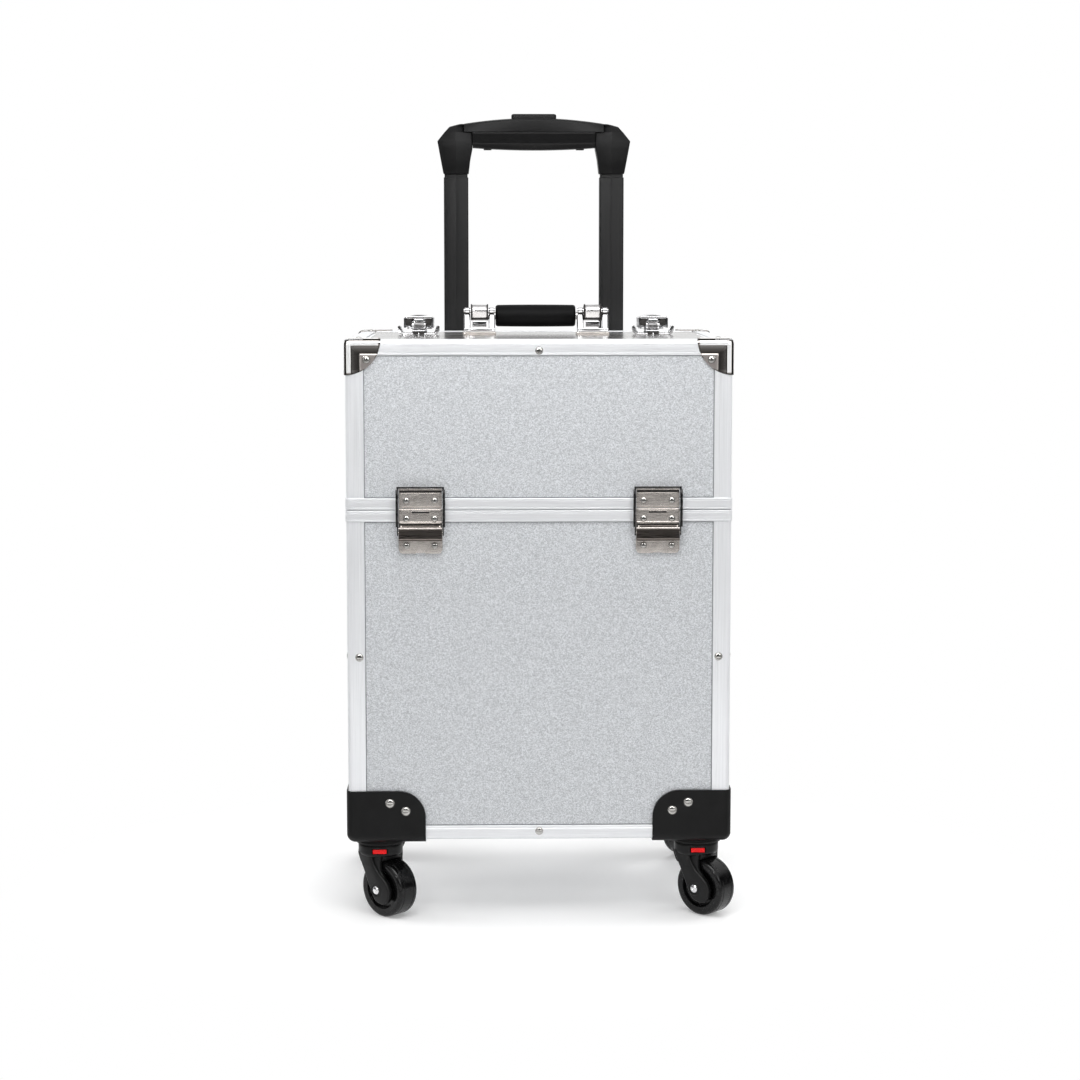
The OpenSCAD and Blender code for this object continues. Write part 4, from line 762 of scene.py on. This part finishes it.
# Painted shade: a near-black floor in the slot and a strip in the gap above the lever; the ears beside the pin take
# the same finish.
slot_and_gap_shades = [slab(-7.8, -2.6, 7.8, -1.0, 0.3, 2.7, 3.02, 0.05), slab(-18.4, -17.2, 18.4, -12.1, 0.3, 1.9, 2.06, 0.03)]
# Painted shade: a dark strip under the catch's lip.
painted_lip_shade = slab(-18.6, 15.7, 18.6, 17.7, 0.2, 1.9, 2.12, 0.03)
ear = plate(string_round([(2.6, -17.0, 0.2), (2.6, -12.0, 0.2), (4.3, -14.5, 2.5)]), 17.5, 19.0, 0.3)
catches, bases, dark_plates, painted_lip_shades = [], [], [], []
for x in latches.values():
    catches += [on_latch(rings, x) for rings in catch_work]
    bases += [on_latch(rings, x) for rings in base_work]
    bases.append(pin(1.2, -19.0, 19.0, (x, y_front - 4.3, z_seam - 14.5)))
    dark_plates += [on_latch(ear[..., edge_on], x, side) for side in (-1, 1)]
    dark_plates += [on_latch(rings, x) for rings in slot_and_gap_shades]
    painted_lip_shades.append(on_latch(painted_lip_shade, x))
piece("latch_catch_pressings", catches, nickel, "upper_case", ["latch_catches"])
piece("latch_base_pressings", bases, nickel, "lower_bin", ["latch_bases"])
piece("latch_dark_plates", dark_plates, painted_shade, "lower_bin")
piece("latch_painted_lip_shades", painted_lip_shades, painted_shade, "upper_case")

# ---- Latch levers: pressed nickel covers that turn on the pins of the bases.
# Each has a bright rolled lip above, a hollow face below it and a neck behind that reaches the pin, both in nickel
# painted dark for the shade they lie in, and a cross pin whose ends carry the bail's links.
# Painted shade: a dark nickel for the lever's hollow face and neck.
painted_shade_nickel = finish("painted_shade_nickel", (0.12, 0.105, 0.095), 0.3, metal=1.0)
brushed = grain(painted_shade_nickel, 0.6, (30, 30, 1))
tint(painted_shade_nickel, brushed, (0.1, 0.088, 0.08), (0.15, 0.132, 0.12))
gloss(painted_shade_nickel, brushed, 0.24, 0.38)
cover = filleted([(2.4, -26.6), (6.4, -26.6), (7.7, -26.0), (7.9, -25.4), (7.3, -24.8), (7.0, -21.2), (7.2, -17.0),
                  (6.6, -16.2), (2.4, -16.2)], [0.3, 0.6, 0.25, 0.25, 0.3, 6.0, 0.4, 0.4, 0.3], 5)
upper_lip = oblong(6.0, -16.3, 8.2, -14.7, 0.7, 6)
neck = slab(-16.6, 2.5, 16.6, 5.6, 0.5, -22.5, -13.4, 0.6)[..., standing]
for name, x in latches.items():
    cross_pin = pin(1.6, -19.4, 19.4, (x, y_front - 5.0, z_seam - 20.0))
    piece("latch_lever_lips_" + name, [on_latch(bar_across(upper_lip, 19.0), x), cross_pin], nickel,
          "latch_lever_" + name)
    piece("latch_lever_cover_" + name, [on_latch(bar_across(cover, 19.1), x), on_latch(neck, x)], painted_shade_nickel,
          "latch_lever_" + name, ["latch_lever_" + name])

# ---- Latch bails: black steel loops that draw the upper case down, one on each lever.
# Two flat arms with chamfered ends run up beside the plates to a bar, and links tie them to the lever's cross pin.
black_steel = finish("black_steel", (0.016, 0.016, 0.017), 0.3, metal=0.5)
wear = grain(black_steel, 4.0, detail=5.0)
tint(black_steel, wear, (0.012, 0.012, 0.013), (0.028, 0.027, 0.027))
gloss(black_steel, wear, 0.2, 0.4)
relief(black_steel, grain(black_steel, 0.8), 0.006)
bail_arm = filleted([(3.4, -12.6), (4.6, -14.6), (6.2, -14.6), (6.4, -13.0), (6.4, 15.4), (5.2, 18.6), (3.4, 18.6)],
                    [0.4, 0.5, 0.5, 0.4, 0.6, 0.5, 0.3])
link = filleted([(3.6, -12.0), (3.6, -20.6), (4.4, -22.2), (5.8, -22.2), (6.2, -20.6), (5.6, -12.0)], 0.6)
shank = filleted([(3.4, 17.0), (5.2, 17.0), (5.0, 21.0), (3.4, 21.0)], 0.35)
bail_work = [plate(bail_arm, 19.6, 21.7, 0.5), plate(link, 19.5, 20.5, 0.3), plate(shank, 19.2, 20.9, 0.3)]
bail_bar = oblong(3.4, 19.6, 5.0, 21.0, 0.35)
for name, x in latches.items():
    shells = [on_latch(rings[..., edge_on], x, side) for side in (-1, 1) for rings in bail_work]
    shells.append(on_latch(bar_across(bail_bar, 20.0), x))
    piece("latch_bail_loop_" + name, shells, black_steel, "latch_bail_" + name,
          ["latch_bail_" + name])

# ---- Lid and rear deck: the top of the case, board under a smooth bright foil, lined with black cloth underneath.
# The lid lies in an aluminium edging, whose front carries a hinge barrel in short knuckles.
# Its pin ends in lugs on the front corners of the top rails.
top_foil = finish("top_foil", (0.5, 0.49, 0.48), 0.2, metal=0.9)
# Painted sheen: broad lighter and darker patches in the foil's colour, standing in for its reflections.
painted_sheen = grain(top_foil, 16.0, (2.5, 1, 1))
foil_colour_and_sheen = tint(top_foil, painted_sheen, (0.44, 0.43, 0.42), (0.56, 0.555, 0.55))
lined(top_foil, foil_colour_and_sheen, 0.2)
relief(top_foil, grain(top_foil, 3.0), 0.004)
dress(top_foil, "lid_panel", "rear_deck")
edging = oblong(-3.0, 515.3, 0, 519.3, [0.3, 0.4, 0.7, 0.7])
hinge, hinge_r, hinge_half, lug_end = (0, -116.3, 517.2), 2.0, 146.4, 154.1
barrel = [(0, -hinge_half), (hinge_r, -hinge_half)]
for x in np.linspace(-hinge_half, hinge_half, 16)[1:-1]:
    barrel += [(2.05, x - 0.5), (1.75, x - 0.2), (1.75, x + 0.2), (2.05, x + 0.5)]
barrel += [(hinge_r, hinge_half), (0, hinge_half)]
leaf = slab(-hinge_half, -116.3, hinge_half, -112.5, 0.3, 515.4, 518.2, 0.2)
piece("lid_edging_frame", [round_case(edging, 154.2, 74.35, -39.55, 1.2), turned(barrel, hinge, X, 20), loft(leaf)],
      aluminium, "lid", ["lid_edging"])


def set_down(rings, origin, side=1):
    """Skin over work that is drawn in the case's own directions, set at an origin; side -1 mirrors it across."""
    return loft(placed(rings, origin, side * X, Y, Z))


lugs, lug_start = [], 146.8
lug_foot = slab(lug_start, -118.8, lug_end, -116.3, 0.2, 515.1, 517.2, 0.1)
for side in (-1, 1):
    lugs.append(pin(hinge_r, lug_start, lug_end, hinge, side * X))
    lugs.append(set_down(lug_foot, (0, 0, 0), side))
piece("lid_hinge_lugs", lugs, aluminium, "upper_case", ["lid_hinge"])

# ---- Top latches: chromed pressings that hold the lid's rear edge down on the deck.
# A riveted base with splayed wings and a ribbed post rides on the lid, and a catch stands on the deck.
# A domed lever turns on the post's pin, with a small block and two hollows under its open front, drawn as
# near-black plates of painted shade.


def seen_from_front(*sizes):
    """Slab drawn across, up and towards the front, in the case's own directions."""
    return slab(*sizes)[..., standing] * (1, -1, 1)


z_lid, post_pin = 519.3, 9.5
top_latches = {"left": (-110.0, 19.2, z_lid), "right": (110.0, 19.2, z_lid)}
side_on = [2, 0, 1]  # drawn along the depth and up, with its thickness across
ribs = [(-1.0, 10.2), (-0.2, 10.2), (-0.2, 9.0), (-1.0, 9.0), (-1.0, 7.4), (-0.2, 7.4), (-0.2, 6.2), (-1.0, 6.2),
        (-1.0, 4.8), (-0.2, 4.8), (-0.2, 3.6), (-1.0, 3.6), (-1.0, 0), (6.0, 0), (6.0, 12.4), (-1.0, 12.4)]
post = carried(filleted(ribs, 0.15, 2), (-6.0, 6.0))[..., side_on]
base = slab(-15.8, -8.0, 15.8, 10.0, 1.5, 0.0, 1.4, 0.4)
wing = filleted([(13.2, 0.0), (16.8, 0.0), (19.4, 3.4), (19.3, 7.4), (16.8, 8.4), (15.6, 4.6)],
                [0.2, 0.5, 0.8, 0.8, 0.5, 1.0])
wing = plate(wing, -6.0, 6.0, 0.4)[..., standing]
wing_tip = plate(filleted([(17.4, 6.6), (19.6, 6.2), (19.5, 7.8), (17.6, 8.6)], 0.4), -6.4, -4.0, 0.2)[..., standing]
foot_block = seen_from_front(0.5, 0.2, 5.4, 3.2, 0.4, 6.0, 8.2, 0.3)
bars = [seen_from_front(-4.6, z, 4.6, z + 1.1, 0.3, 0.8, 1.3, 0.15) for z in (6.4, 8.5)]
catch_block = slab(-7.0, 19.0, 7.0, 24.0, 0.5, 0.0, 9.0, 0.6)
catch_foot = slab(-12.0, 17.5, 12.0, 24.0, 0.8, 0.0, 1.2, 0.3)
bases, feet, catches = [], [], []
for origin in top_latches.values():
    bases += [set_down(rings, origin) for rings in (base, post)]
    bases.append(pin(1.4, -14.2, 14.2, origin + Z * post_pin))
    feet += [set_down(bar, origin) for bar in bars]
    for side in (-1, 1):
        bases.append(set_down(wing, origin, side))
        bases.append(rivet(origin + np.array([side * 12.0, -6.0, 1.4]), Z, 3.2, 0.8))
        feet += [set_down(rings, origin, side) for rings in (foot_block, wing_tip)]
    catches += [set_down(rings, origin) for rings in (catch_block, catch_foot)]
piece("top_latch_base_pressings", bases, chrome, "lid", ["top_latch_bases"])
# Bars under the lever, feet and wing tips in the near-black finish of the painted shade.
piece("top_latch_feet", feet, painted_shade, "lid")
piece("top_catch_pressings", catches, chrome, "upper_case", ["top_catches"])


def lever_outline(top, half, crown, low, steps=13):
    """Section of a lever: upright sides under a top that follows a circle's arc of the given crown."""
    x = np.linspace(half, -half, steps)
    radius = (half**2 + crown**2) / (2 * crown)
    arc = np.stack([x, top - radius + np.sqrt(radius**2 - x**2)], 1)
    return np.concatenate([[(half, low)], arc, [(-half, low)]])


outside, hollow_side = lever_outline(8.9, 14.0, 3.0, -3.0), lever_outline(7.5, 12.2, 2.7, -3.0)
cap = carried(np.concatenate([outside, hollow_side[::-1]]), (-5.0, -4.6, 26.0, 26.4))[..., standing]
cap[[0, -1]] *= (0.985, 1, 0.985)
hook = slab(-11.9, -5.0, 11.9, 6.2, 0.6, 25.0, 26.4, 0.3)[..., standing]
brow = seen_from_front(-4.6, 0.7, 4.6, 5.0, 0.8, 3.6, 6.6, 0.6)
visor = seen_from_front(-12.6, 5.6, 12.6, 8.0, 1.0, 3.6, 5.2, 0.6)
# Painted shade: a near-black plate in each hollow under the lever's front.
hollow = seen_from_front(6.4, -1.0, 12.4, 5.8, 0.8, 3.2, 4.0, 0.2)
for name, origin in top_latches.items():
    pivot = origin + Z * post_pin
    piece("top_lever_cap_" + name, [set_down(rings, pivot) for rings in (cap, hook, brow, visor)], chrome,
          "top_lever_" + name, ["top_lever_" + name])
    piece("top_lever_painted_shades_" + name, [set_down(hollow, pivot, side) for side in (-1, 1)], painted_shade,
          "top_lever_" + name)

# ---- Handle brackets: chromed steel frames on the lid, each with two tapered legs on a plated foot.
# A bar joins the legs in front and a small leaf stands behind it. The pin lies across the tops of the legs,
# in a knuckle on each. Near-black plates of painted shadow lie under each knuckle and under the bar.
pivot_y, pivot_z, brackets = 16.2, 541.8, (-53.0, 53.0)
bracket_leg = plate(string_round([(-10.0, 0.8, 0.8), (10.0, 0.8, 0.8), (0, 17.0, 2.7)], 96), 8.6, 14.5, 1.7, 5)
foot = slab(-15.5, -13.0, 15.5, 13.0, 1.2, 0.0, 2.4, 0.5)
cross_bar = seen_from_front(-14.6, 3.0, 14.6, 6.4, 0.8, 11.0, 13.0, 0.8)
# Painted shadow: a near-black strip between the cross bar and the foot.
painted_bar_shadow = seen_from_front(-12.8, 2.3, 12.8, 3.1, 0.1, 11.6, 12.4, 0.1)
leaf = seen_from_front(-6.6, 7.4, 6.6, 12.8, 0.8, 5.0, 6.6, 0.5)
knuckle = [(0, 8.9), (2.2, 8.9), (2.9, 9.6), (2.9, 13.2), (2.2, 13.9), (0, 13.9)]
frames, feet, painted_shadows = [], [], []
for x in brackets:
    origin = (x, pivot_y, z_lid)
    frames += [set_down(rings, origin) for rings in (cross_bar, leaf)]
    frames.append(pin(1.95, -14.6, 14.6, (x, pivot_y, pivot_z), steps=24))
    feet.append(set_down(foot, origin))
    painted_shadows.append(set_down(painted_bar_shadow, origin))
    for side in (-1, 1):
        frames.append(set_down(bracket_leg[..., side_on], origin, side))
        frames.append(turned(knuckle, (x, pivot_y - 1.0, pivot_z), side * X, 32))
        # Painted shadow: a near-black crescent under each knuckle.
        painted_shadows.append(pin(3.4, 9.0, 13.6, (x, pivot_y, pivot_z - 0.8), side * X, 24))
piece("handle_bracket_frames", frames, chrome, "lid", ["handle_brackets"])
piece("handle_bracket_feet", feet, nickel, "lid")
piece("handle_bracket_painted_shadows", painted_shadows, painted_shade, "lid")

# ---- Carry handle: two satin steel arms that turn on the brackets' pins, a rod between them and a black grip.
# Each arm is parted from its bracket by a washer each side, a real part made near black as painted shade for the
# gap, and a plate of painted shadow lies under each arm. The grip is a firm rubber sleeve, pushed on the rod,
# slightly fuller in the middle, with rounded ends and a fine grain.
handle_arm = plate(string_round([(0, 0, 5.4), (-1.6, -5.2, 2.4), (30.0, -5.5, 4.6)]), -7.2, 7.2, 1.0)
# A real washer each side of each arm, coloured near black as painted shade for the gap.
washer = plate(string_round([(0, 0, 6.0), (-1.6, -5.2, 3.3), (30.0, -5.5, 4.6)]), 6.9, 8.1, 0.2)
# Painted shadow: a near-black plate under each arm.
painted_arm_shadow = plate(string_round([(-3.6, -8.0, 0.5), (2.0, -8.0, 0.5)]), -7.6, 7.6, 0.1)
rod = (0, 46.2, 536.3)
arms, washers_and_shadows = [pin(3.6, -53.0, 53.0, rod, steps=32)], []
for x in brackets:
    pivot = (x, pivot_y, pivot_z)
    arms.append(set_down(handle_arm[..., side_on], pivot))
    washers_and_shadows += [set_down(washer[..., side_on], pivot, side) for side in (-1, 1)]
    washers_and_shadows.append(set_down(painted_arm_shadow[..., side_on], pivot))
satin_steel = finish("satin_steel", (0.56, 0.55, 0.55), 0.3, metal=0.9)
brushed = grain(satin_steel, 0.6, (1, 30, 1))
tint(satin_steel, brushed, (0.5, 0.49, 0.49), (0.64, 0.63, 0.63))
gloss(satin_steel, brushed, 0.24, 0.38)
piece("handle_washers_and_shadows", washers_and_shadows, painted_shade, "carry_handle")
piece("handle_arms", arms, satin_steel, "carry_handle", ["handle_bail"])
rubber = finish("grip_rubber", (0.0026, 0.0026, 0.0028), 0.5, specular=0.1)
knurl = grain(rubber, 0.8, detail=2.0)
tint(rubber, grain(rubber, 8.0, (3, 1, 1)), (0.0022, 0.0022, 0.0024), (0.0034, 0.0034, 0.0036))
gloss(rubber, knurl, 0.42, 0.62)
relief(rubber, knurl, 0.03)
end, end_r = np.radians(np.linspace(0, 90, 7)), 2.5
sleeve = [(3.65, -38.0)] + list(zip(7.7 + end_r * np.sin(end), -35.5 - end_r * np.cos(end)))
sleeve += [(10.4, -20.0), (10.5, 0), (10.4, 20.0)]
sleeve += list(zip(7.7 + end_r * np.cos(end), 35.5 + end_r * np.sin(end))) + [(3.65, 38.0)]
piece("handle_sleeve", [turned(sleeve, rod, X, 64, round_trip=True)], rubber, "carry_handle",
      ["handle_grip"])

# ---- Trolley tubes: three pairs of drawn tubes that slide in each other behind the rear wall.
# Black anodised aluminium; the inner tubes have a crease down the front and a neck under the sockets.
anodised = finish("black_tube", (0.009, 0.009, 0.0093), 0.34, specular=0.3)
drawn = grain(anodised, 0.7, (1, 1, 160), detail=2.0)
tint(anodised, drawn, (0.0075, 0.0075, 0.0078), (0.011, 0.011, 0.0113))
gloss(anodised, drawn, 0.28, 0.42)
relief(anodised, drawn, 0.004)
tube_x, tube_y = 76.3, 131.2


def tube_outline(w, d, crease, corner):
    """Section of a tube: a rectangle with round corners whose front may fold forward along the middle."""
    points = [(-w / 2, d / 2), (-w / 2, crease - d / 2), (w / 2, crease - d / 2), (w / 2, d / 2)]
    radii = [corner] * 4
    if crease:
        points.insert(2, (0, -d / 2))
        radii.insert(2, 1.5)
    return filleted(points, radii, 5)


def tube_pair(w, d, crease, stations, wall=1.4):
    """Pair of hollow tubes: the section goes up the outside at each (height, inset) and down the bore."""
    rings = [ring_at(tube_outline(w - 2 * draw, d - 2 * draw, crease, 1.6), z) for z, draw in stations]
    bore = tube_outline(w - 2 * wall, d - 2 * wall, crease, 0.8)
    rings += [ring_at(bore, stations[-1][0]), ring_at(bore, stations[0][0])]
    return [loft(placed(np.stack(rings), (side * tube_x, tube_y, 0), X, Y, Z), round_trip=True) for side in (-1, 1)]


def tube_ends(low, high, soft=0.5):
    """Stations of a plain tube with both ends slightly rounded."""
    return [(low, soft), (low + soft, 0), (high - soft, 0), (high, soft)]


piece("outer_tube_pair", tube_pair(31.2, 21.2, 0, tube_ends(80.0, 366.0)), anodised, "lower_bin",
      ["trolley_outer_tubes"])
piece("middle_tube_pair", tube_pair(27.6, 17.6, 0, tube_ends(80.3, 364.0)), anodised, "trolley_middle",
      ["trolley_middle_tubes"])
neck = [(236.0, 0.4), (236.4, 0), (669.4, 0), (669.7, 0.7), (676.0, 0.7)]
piece("inner_tube_pair", tube_pair(24.0, 14.0, 2.0, neck), anodised, "trolley_inner",
      ["trolley_inner_tubes"])

# ---- Trolley clamps: black steel brackets that hold the outer tubes to the rear wall, two on each tube.
# Each is bored for its tube; the lower pair is closed below, so that the tubes stand in it.
clamps, clamp_half, bore_half = [], 17.6, 15.6
for side in (-1, 1):
    for low, floor, high, back in ((76.0, 80.0, 98.0, 116.2), (332.0, 332.0, 354.0, 114.8)):
        outline = oblong(-clamp_half, back, clamp_half, 143.8, [0.5, 0.5, 2.5, 2.5])
        bore = oblong(-bore_half, 120.6, bore_half, 141.8, [0.5, 0.5, 1.4, 1.4])
        rings = np.concatenate([plate(outline, low, high, 0.8), carried(bore, (high, floor))])
        clamps.append(loft(placed(rings, (side * tube_x, 0, 0), X, Y, Z), round_trip=floor == low))
piece("tube_clamps", clamps, black_steel, "lower_bin", ["trolley_clamps"])

# ---- Trolley grip: black mouldings on the inner tubes. Two sockets flare upwards with a crease down their fronts.
# An arched upper shell holds the push button, and a darker bar closes the grip from below, with a small pad
# near each end.
z_socket = 673.0
socket_rings = []
for z, outer_x, inner_x, depth in (
        (0.0, 12.0, -12.0, 11.6), (0.6, 12.4, -12.4, 12.0), (14.0, 14.9, -14.0, 12.6), (24.0, 16.7, -16.0, 13.0),
        (31.2, 18.0, -16.3, 13.0), (32.0, 17.6, -16.3, 12.9), (39.99, 11.2, -16.3, 12.2), (40.0, 11.2, -7.95, 12.2),
        (44.6, 7.2, -7.95, 9.4), (45.6, 6.2, -7.95, 8.8), (47.6, -1.5, -7.95, 7.8), (48.2, -4.5, -7.95, 7.4)):
    crease_x, fold = (0.0, 3.6) if outer_x > 4 else ((outer_x + inner_x) / 2, 0.3)
    ring = filleted([(inner_x, depth), (inner_x, fold - depth), (crease_x, -depth), (outer_x, fold - depth),
                     (outer_x, depth - fold), (crease_x, depth)], [1.2, 1.2, 0.6, 1.4, 1.4, 0.6], 4)
    socket_rings.append(ring_at(ring, z))
socket_rings = np.stack(socket_rings)
sockets = [set_down(socket_rings, (side * tube_x, tube_y, z_socket), side) for side in (-1, 1)]
piece("grip_socket_mouldings", sockets, moulded, "trolley_inner", ["grip_sockets"])

shell_half, shell_top, shell_arch_r = 68.2, 54.0, 420.5
bar_half, bar_low, bar_arch_r = 59.9, 23.0, 783.5
button_arch_r = 210.0


def arch(x, radius):
    """Fall of a shallow arch: the square of the distance from its middle over twice its radius."""
    return x**2 / (2 * radius)


def along_grip(sections, stations):
    """Skin over sections, drawn in depth and height, that stand at stations along the grip."""
    rings = np.stack([ring_at(section, x) for section, x in zip(sections, stations)])
    return loft(placed(rings, (0, tube_y, z_socket), Y, Z, X))


def grip_section(x, notch):
    """Section of the grip's upper shell at one place along it: flat below, upright sides that draw in towards the
    ends, rounded shoulders and an arched top; a notch holds the button."""
    top = shell_top - arch(x, shell_arch_r)
    floor = top - notch - 0.01
    side, low_side = 13.0 - 4.4 * (x / shell_half) ** 2, 13.0 - 0.7 * (x / shell_half) ** 2
    return filleted([(-low_side, 40.1), (-side, top - 1.2), (-6.3, top), (-6.3, floor), (6.3, floor), (6.3, top),
                     (side, top - 1.2), (low_side, 40.1)], [0.5, 1.8, 0.02, 0.0, 0.0, 0.02, 1.8, 0.5], 6)


def bar_section(x):
    """Section of the bar below: a flat top, sides that curve inwards, and an underside that arches upwards."""
    low = bar_low + arch(x, bar_arch_r)
    return filleted([(-12.5, 39.9), (-12.5, 38.6), (-10.6, 29.0), (-7.0, low), (7.0, low), (10.6, 29.0),
                     (12.5, 38.6), (12.5, 39.9)], [0.2, 0.5, 6.0, 3.0, 3.0, 6.0, 0.5, 0.2], 6)


beside_notch, in_notch = np.linspace(22.3, shell_half, 15), np.linspace(-22.25, 22.25, 13)
stations = np.concatenate([-beside_notch[::-1], in_notch, beside_notch])
sections = [grip_section(x, 8.0 if x in in_notch else 0.0) for x in stations]
piece("grip_top_moulding", [along_grip(sections, stations)], moulded, "trolley_inner",
      ["grip_upper_shell"])
stations = np.linspace(-bar_half, bar_half, 41)
pad = slab(-3.8, -4.5, 3.8, 4.5, 0.6, 23.2, 25.5, 0.3)
bar = [along_grip([bar_section(x) for x in stations], stations)]
bar += [set_down(pad, (side * 45.3, tube_y, z_socket)) for side in (-1, 1)]
piece("grip_bar_moulding", bar, fork_black, "trolley_inner", ["grip_lower_shell"])
button = plate(oblong(-22, -6, 22, 6, 2.4), 723.3, 732.0, 1.6, 5)
button[..., 2] -= np.where(button[..., 2] > 728, arch(button[..., 0], button_arch_r), 0)
piece("grip_button", [set_down(button, (0, tube_y, 0))], moulded, "trolley_button",
      ["trolley_button"])

# ---- Studio: a white floor that fades into a white backdrop, soft lamps and the camera.
# Behind the camera and beside the case the room is dim, so that bright metal has something dark to show.
floor_mesh = bpy.data.meshes.new("studio_floor")
floor_mesh.from_pydata([(-9, -9, 0), (9, -9, 0), (9, 9, 0), (-9, 9, 0)], [], [(0, 1, 2, 3)])
studio_floor = bpy.data.objects.new("studio_floor", floor_mesh)
bpy.context.scene.collection.objects.link(studio_floor)
paper = bpy.data.materials.new("studio_paper")
paper.use_nodes = True
floor_mesh.materials.append(paper)
paper.node_tree.nodes.remove(paper.node_tree.nodes["Principled BSDF"])
matt = add_node(paper, "BsdfDiffuse", {"Color": (0.85, 0.85, 0.85, 1)})
lift = add_node(paper, "Emission", {"Color": (1, 1, 1, 1), "Strength": 0.22})
rays = add_node(paper, "LightPath", {})
place = add_node(paper, "TexCoord", {}).outputs["Object"]
depth = add_node(paper, "SeparateXYZ", {"Vector": place}).outputs["Y"]
in_metal = add_node(paper, "MapRange", {"Value": depth, "From Min": -1.6, "From Max": -0.5,
                                        "To Min": 0.2, "To Max": 0.5})
level = add_node(paper, "MixRGB", {"Fac": rays.outputs["Is Camera Ray"], "Color1": in_metal.outputs["Result"],
                                   "Color2": (1, 1, 1, 1)})
glow = add_node(paper, "Emission", {"Color": level.outputs["Color"], "Strength": 1.0})
stretched = add_node(paper, "Mapping", {"Vector": place, "Location": (0, 0.0088, 0), "Scale": (1.0, 1.25, 1.0)})
far = add_node(paper, "VectorMath", {0: stretched.outputs["Vector"]})
far.operation = "LENGTH"
fade = add_node(paper, "MapRange", {"Value": far.outputs["Value"], "From Min": 0.22, "From Max": 0.5,
                                    "To Min": 0.0, "To Max": 1.0})
fade.interpolation_type = "SMOOTHSTEP"
seen = add_node(paper, "Math", {0: rays.outputs["Is Camera Ray"], 1: rays.outputs["Is Glossy Ray"]})
seen.operation = "MAXIMUM"
lifted = add_node(paper, "AddShader", {0: matt.outputs[0], 1: lift.outputs[0]})
bright = add_node(paper, "MixShader", {0: fade.outputs["Result"], 1: lifted.outputs[0], 2: glow.outputs[0]})
mixed = add_node(paper, "MixShader", {0: seen.outputs["Value"], 1: matt.outputs[0], 2: bright.outputs[0]})
paper.node_tree.links.new(mixed.outputs[0], paper.node_tree.nodes["Material Output"].inputs["Surface"])

world = bpy.data.worlds.new("studio")
bpy.context.scene.world = world
world.use_nodes = True
backdrop = world.node_tree.nodes["Background"]
rays = add_node(world, "LightPath", {})
way = add_node(world, "SeparateXYZ", {"Vector": add_node(world, "TexCoord", {}).outputs["Generated"]})


def step_to(value, start, end):
    """Part of the studio round the case: zero at start and one at end of a direction's coordinate, smooth between."""
    ends = {"Value": value, "From Min": min(start, end), "From Max": max(start, end), "To Min": float(start > end),
            "To Max": float(start < end)}
    step = add_node(world, "MapRange", ends)
    step.interpolation_type = "SMOOTHSTEP"
    return step.outputs["Result"]


def sums(kind, first, second=0.0):
    """One sum on the studio's directions."""
    node = add_node(world, "Math", {0: first, 1: second})
    node.operation = kind
    return node.outputs["Value"]


tilt = sums("ABSOLUTE", sums("ADD", way.outputs["Z"], 0.04))
behind_camera = sums("MULTIPLY", step_to(way.outputs["Y"], -0.56, -0.82), step_to(tilt, 0.58, 0.34))
abreast = sums("MULTIPLY", step_to(way.outputs["Y"], 0.65, 0.4), step_to(way.outputs["Y"], -0.5, -0.2))
beside_case = sums("MULTIPLY", abreast, step_to(tilt, 0.65, 0.4))
dim = sums("MAXIMUM", behind_camera, beside_case)
room = add_node(world, "MapRange", {"Value": dim, "From Min": 0.0, "From Max": 1.0,
                                    "To Min": 0.95, "To Max": 0.03})
soft = add_node(world, "MixRGB", {"Fac": rays.outputs["Is Glossy Ray"], "Color1": (0.23, 0.23, 0.23, 1),
                                  "Color2": room.outputs["Result"]})
white = add_node(world, "MixRGB", {"Fac": rays.outputs["Is Camera Ray"], "Color1": soft.outputs["Color"],
                                   "Color2": (1, 1, 1, 1)})
world.node_tree.links.new(white.outputs["Color"], backdrop.inputs["Color"])


def soft_lamp(name, place, aim, size, power, height=None, mirrored=True):
    """Soft box, square unless a height is given, that points at a place. One that isn't mirrored only gives light."""
    lamp = bpy.data.lights.new(name, "AREA")
    lamp.energy = power
    lamp.shape = "RECTANGLE"
    lamp.size, lamp.size_y = size, height or size
    box = bpy.data.objects.new(name, lamp)
    box.location = place
    box.visible_camera = False
    box.visible_glossy = mirrored
    way = np.array(aim, float) - np.array(place, float)
    flat = math.hypot(way[0], way[1])
    box.rotation_euler = (math.atan2(flat, -way[2]), 0, math.atan2(-way[0], way[1]))
    bpy.context.scene.collection.objects.link(box)


soft_lamp("upper_lamp", (0.0, -0.6, 1.02), (0, -0.13, 0.47), 0.8, 5.2, 0.5)
soft_lamp("left_lamp", (-0.5, -1.3, 0.85), (0, 0, 0.3), 0.16, 1.9)
soft_lamp("right_lamp", (0.9, -1.5, 0.95), (0, 0, 0.35), 0.6, 4.1)
soft_lamp("low_lamp", (0.0, -0.6, 0.06), (0, -0.13, 0.1), 1.1, 0.4, 0.1)
soft_lamp("top_lamp", (0, 0.1, 2.4), (0, 0, 0.4), 1.6, 12.0, mirrored=False)
soft_lamp("back_lamp", (0.4, 2.2, 1.4), (0, 0, 0.4), 1.4, 32.0, mirrored=False)
soft_lamp("left_side_lamp", (-1.9, 0.4, 1.0), (0, 0, 0.35), 1.2, 18.0, mirrored=False)
soft_lamp("right_side_lamp", (1.9, 0.4, 1.0), (0, 0, 0.35), 1.2, 18.0, mirrored=False)

camera = bpy.data.objects.new("camera", bpy.data.cameras.new("camera"))
bpy.context.scene.collection.objects.link(camera)
camera.location = (-0.0407, -2.145, 0.5905)
camera.rotation_euler = (math.radians(90 - 5.66), 0, math.radians(-1.179))
camera.data.lens = 76.56
camera.data.sensor_width = 36
camera.data.shift_y = -0.05
bpy.context.scene.camera = camera
bpy.context.scene.view_settings.view_transform = "Standard"
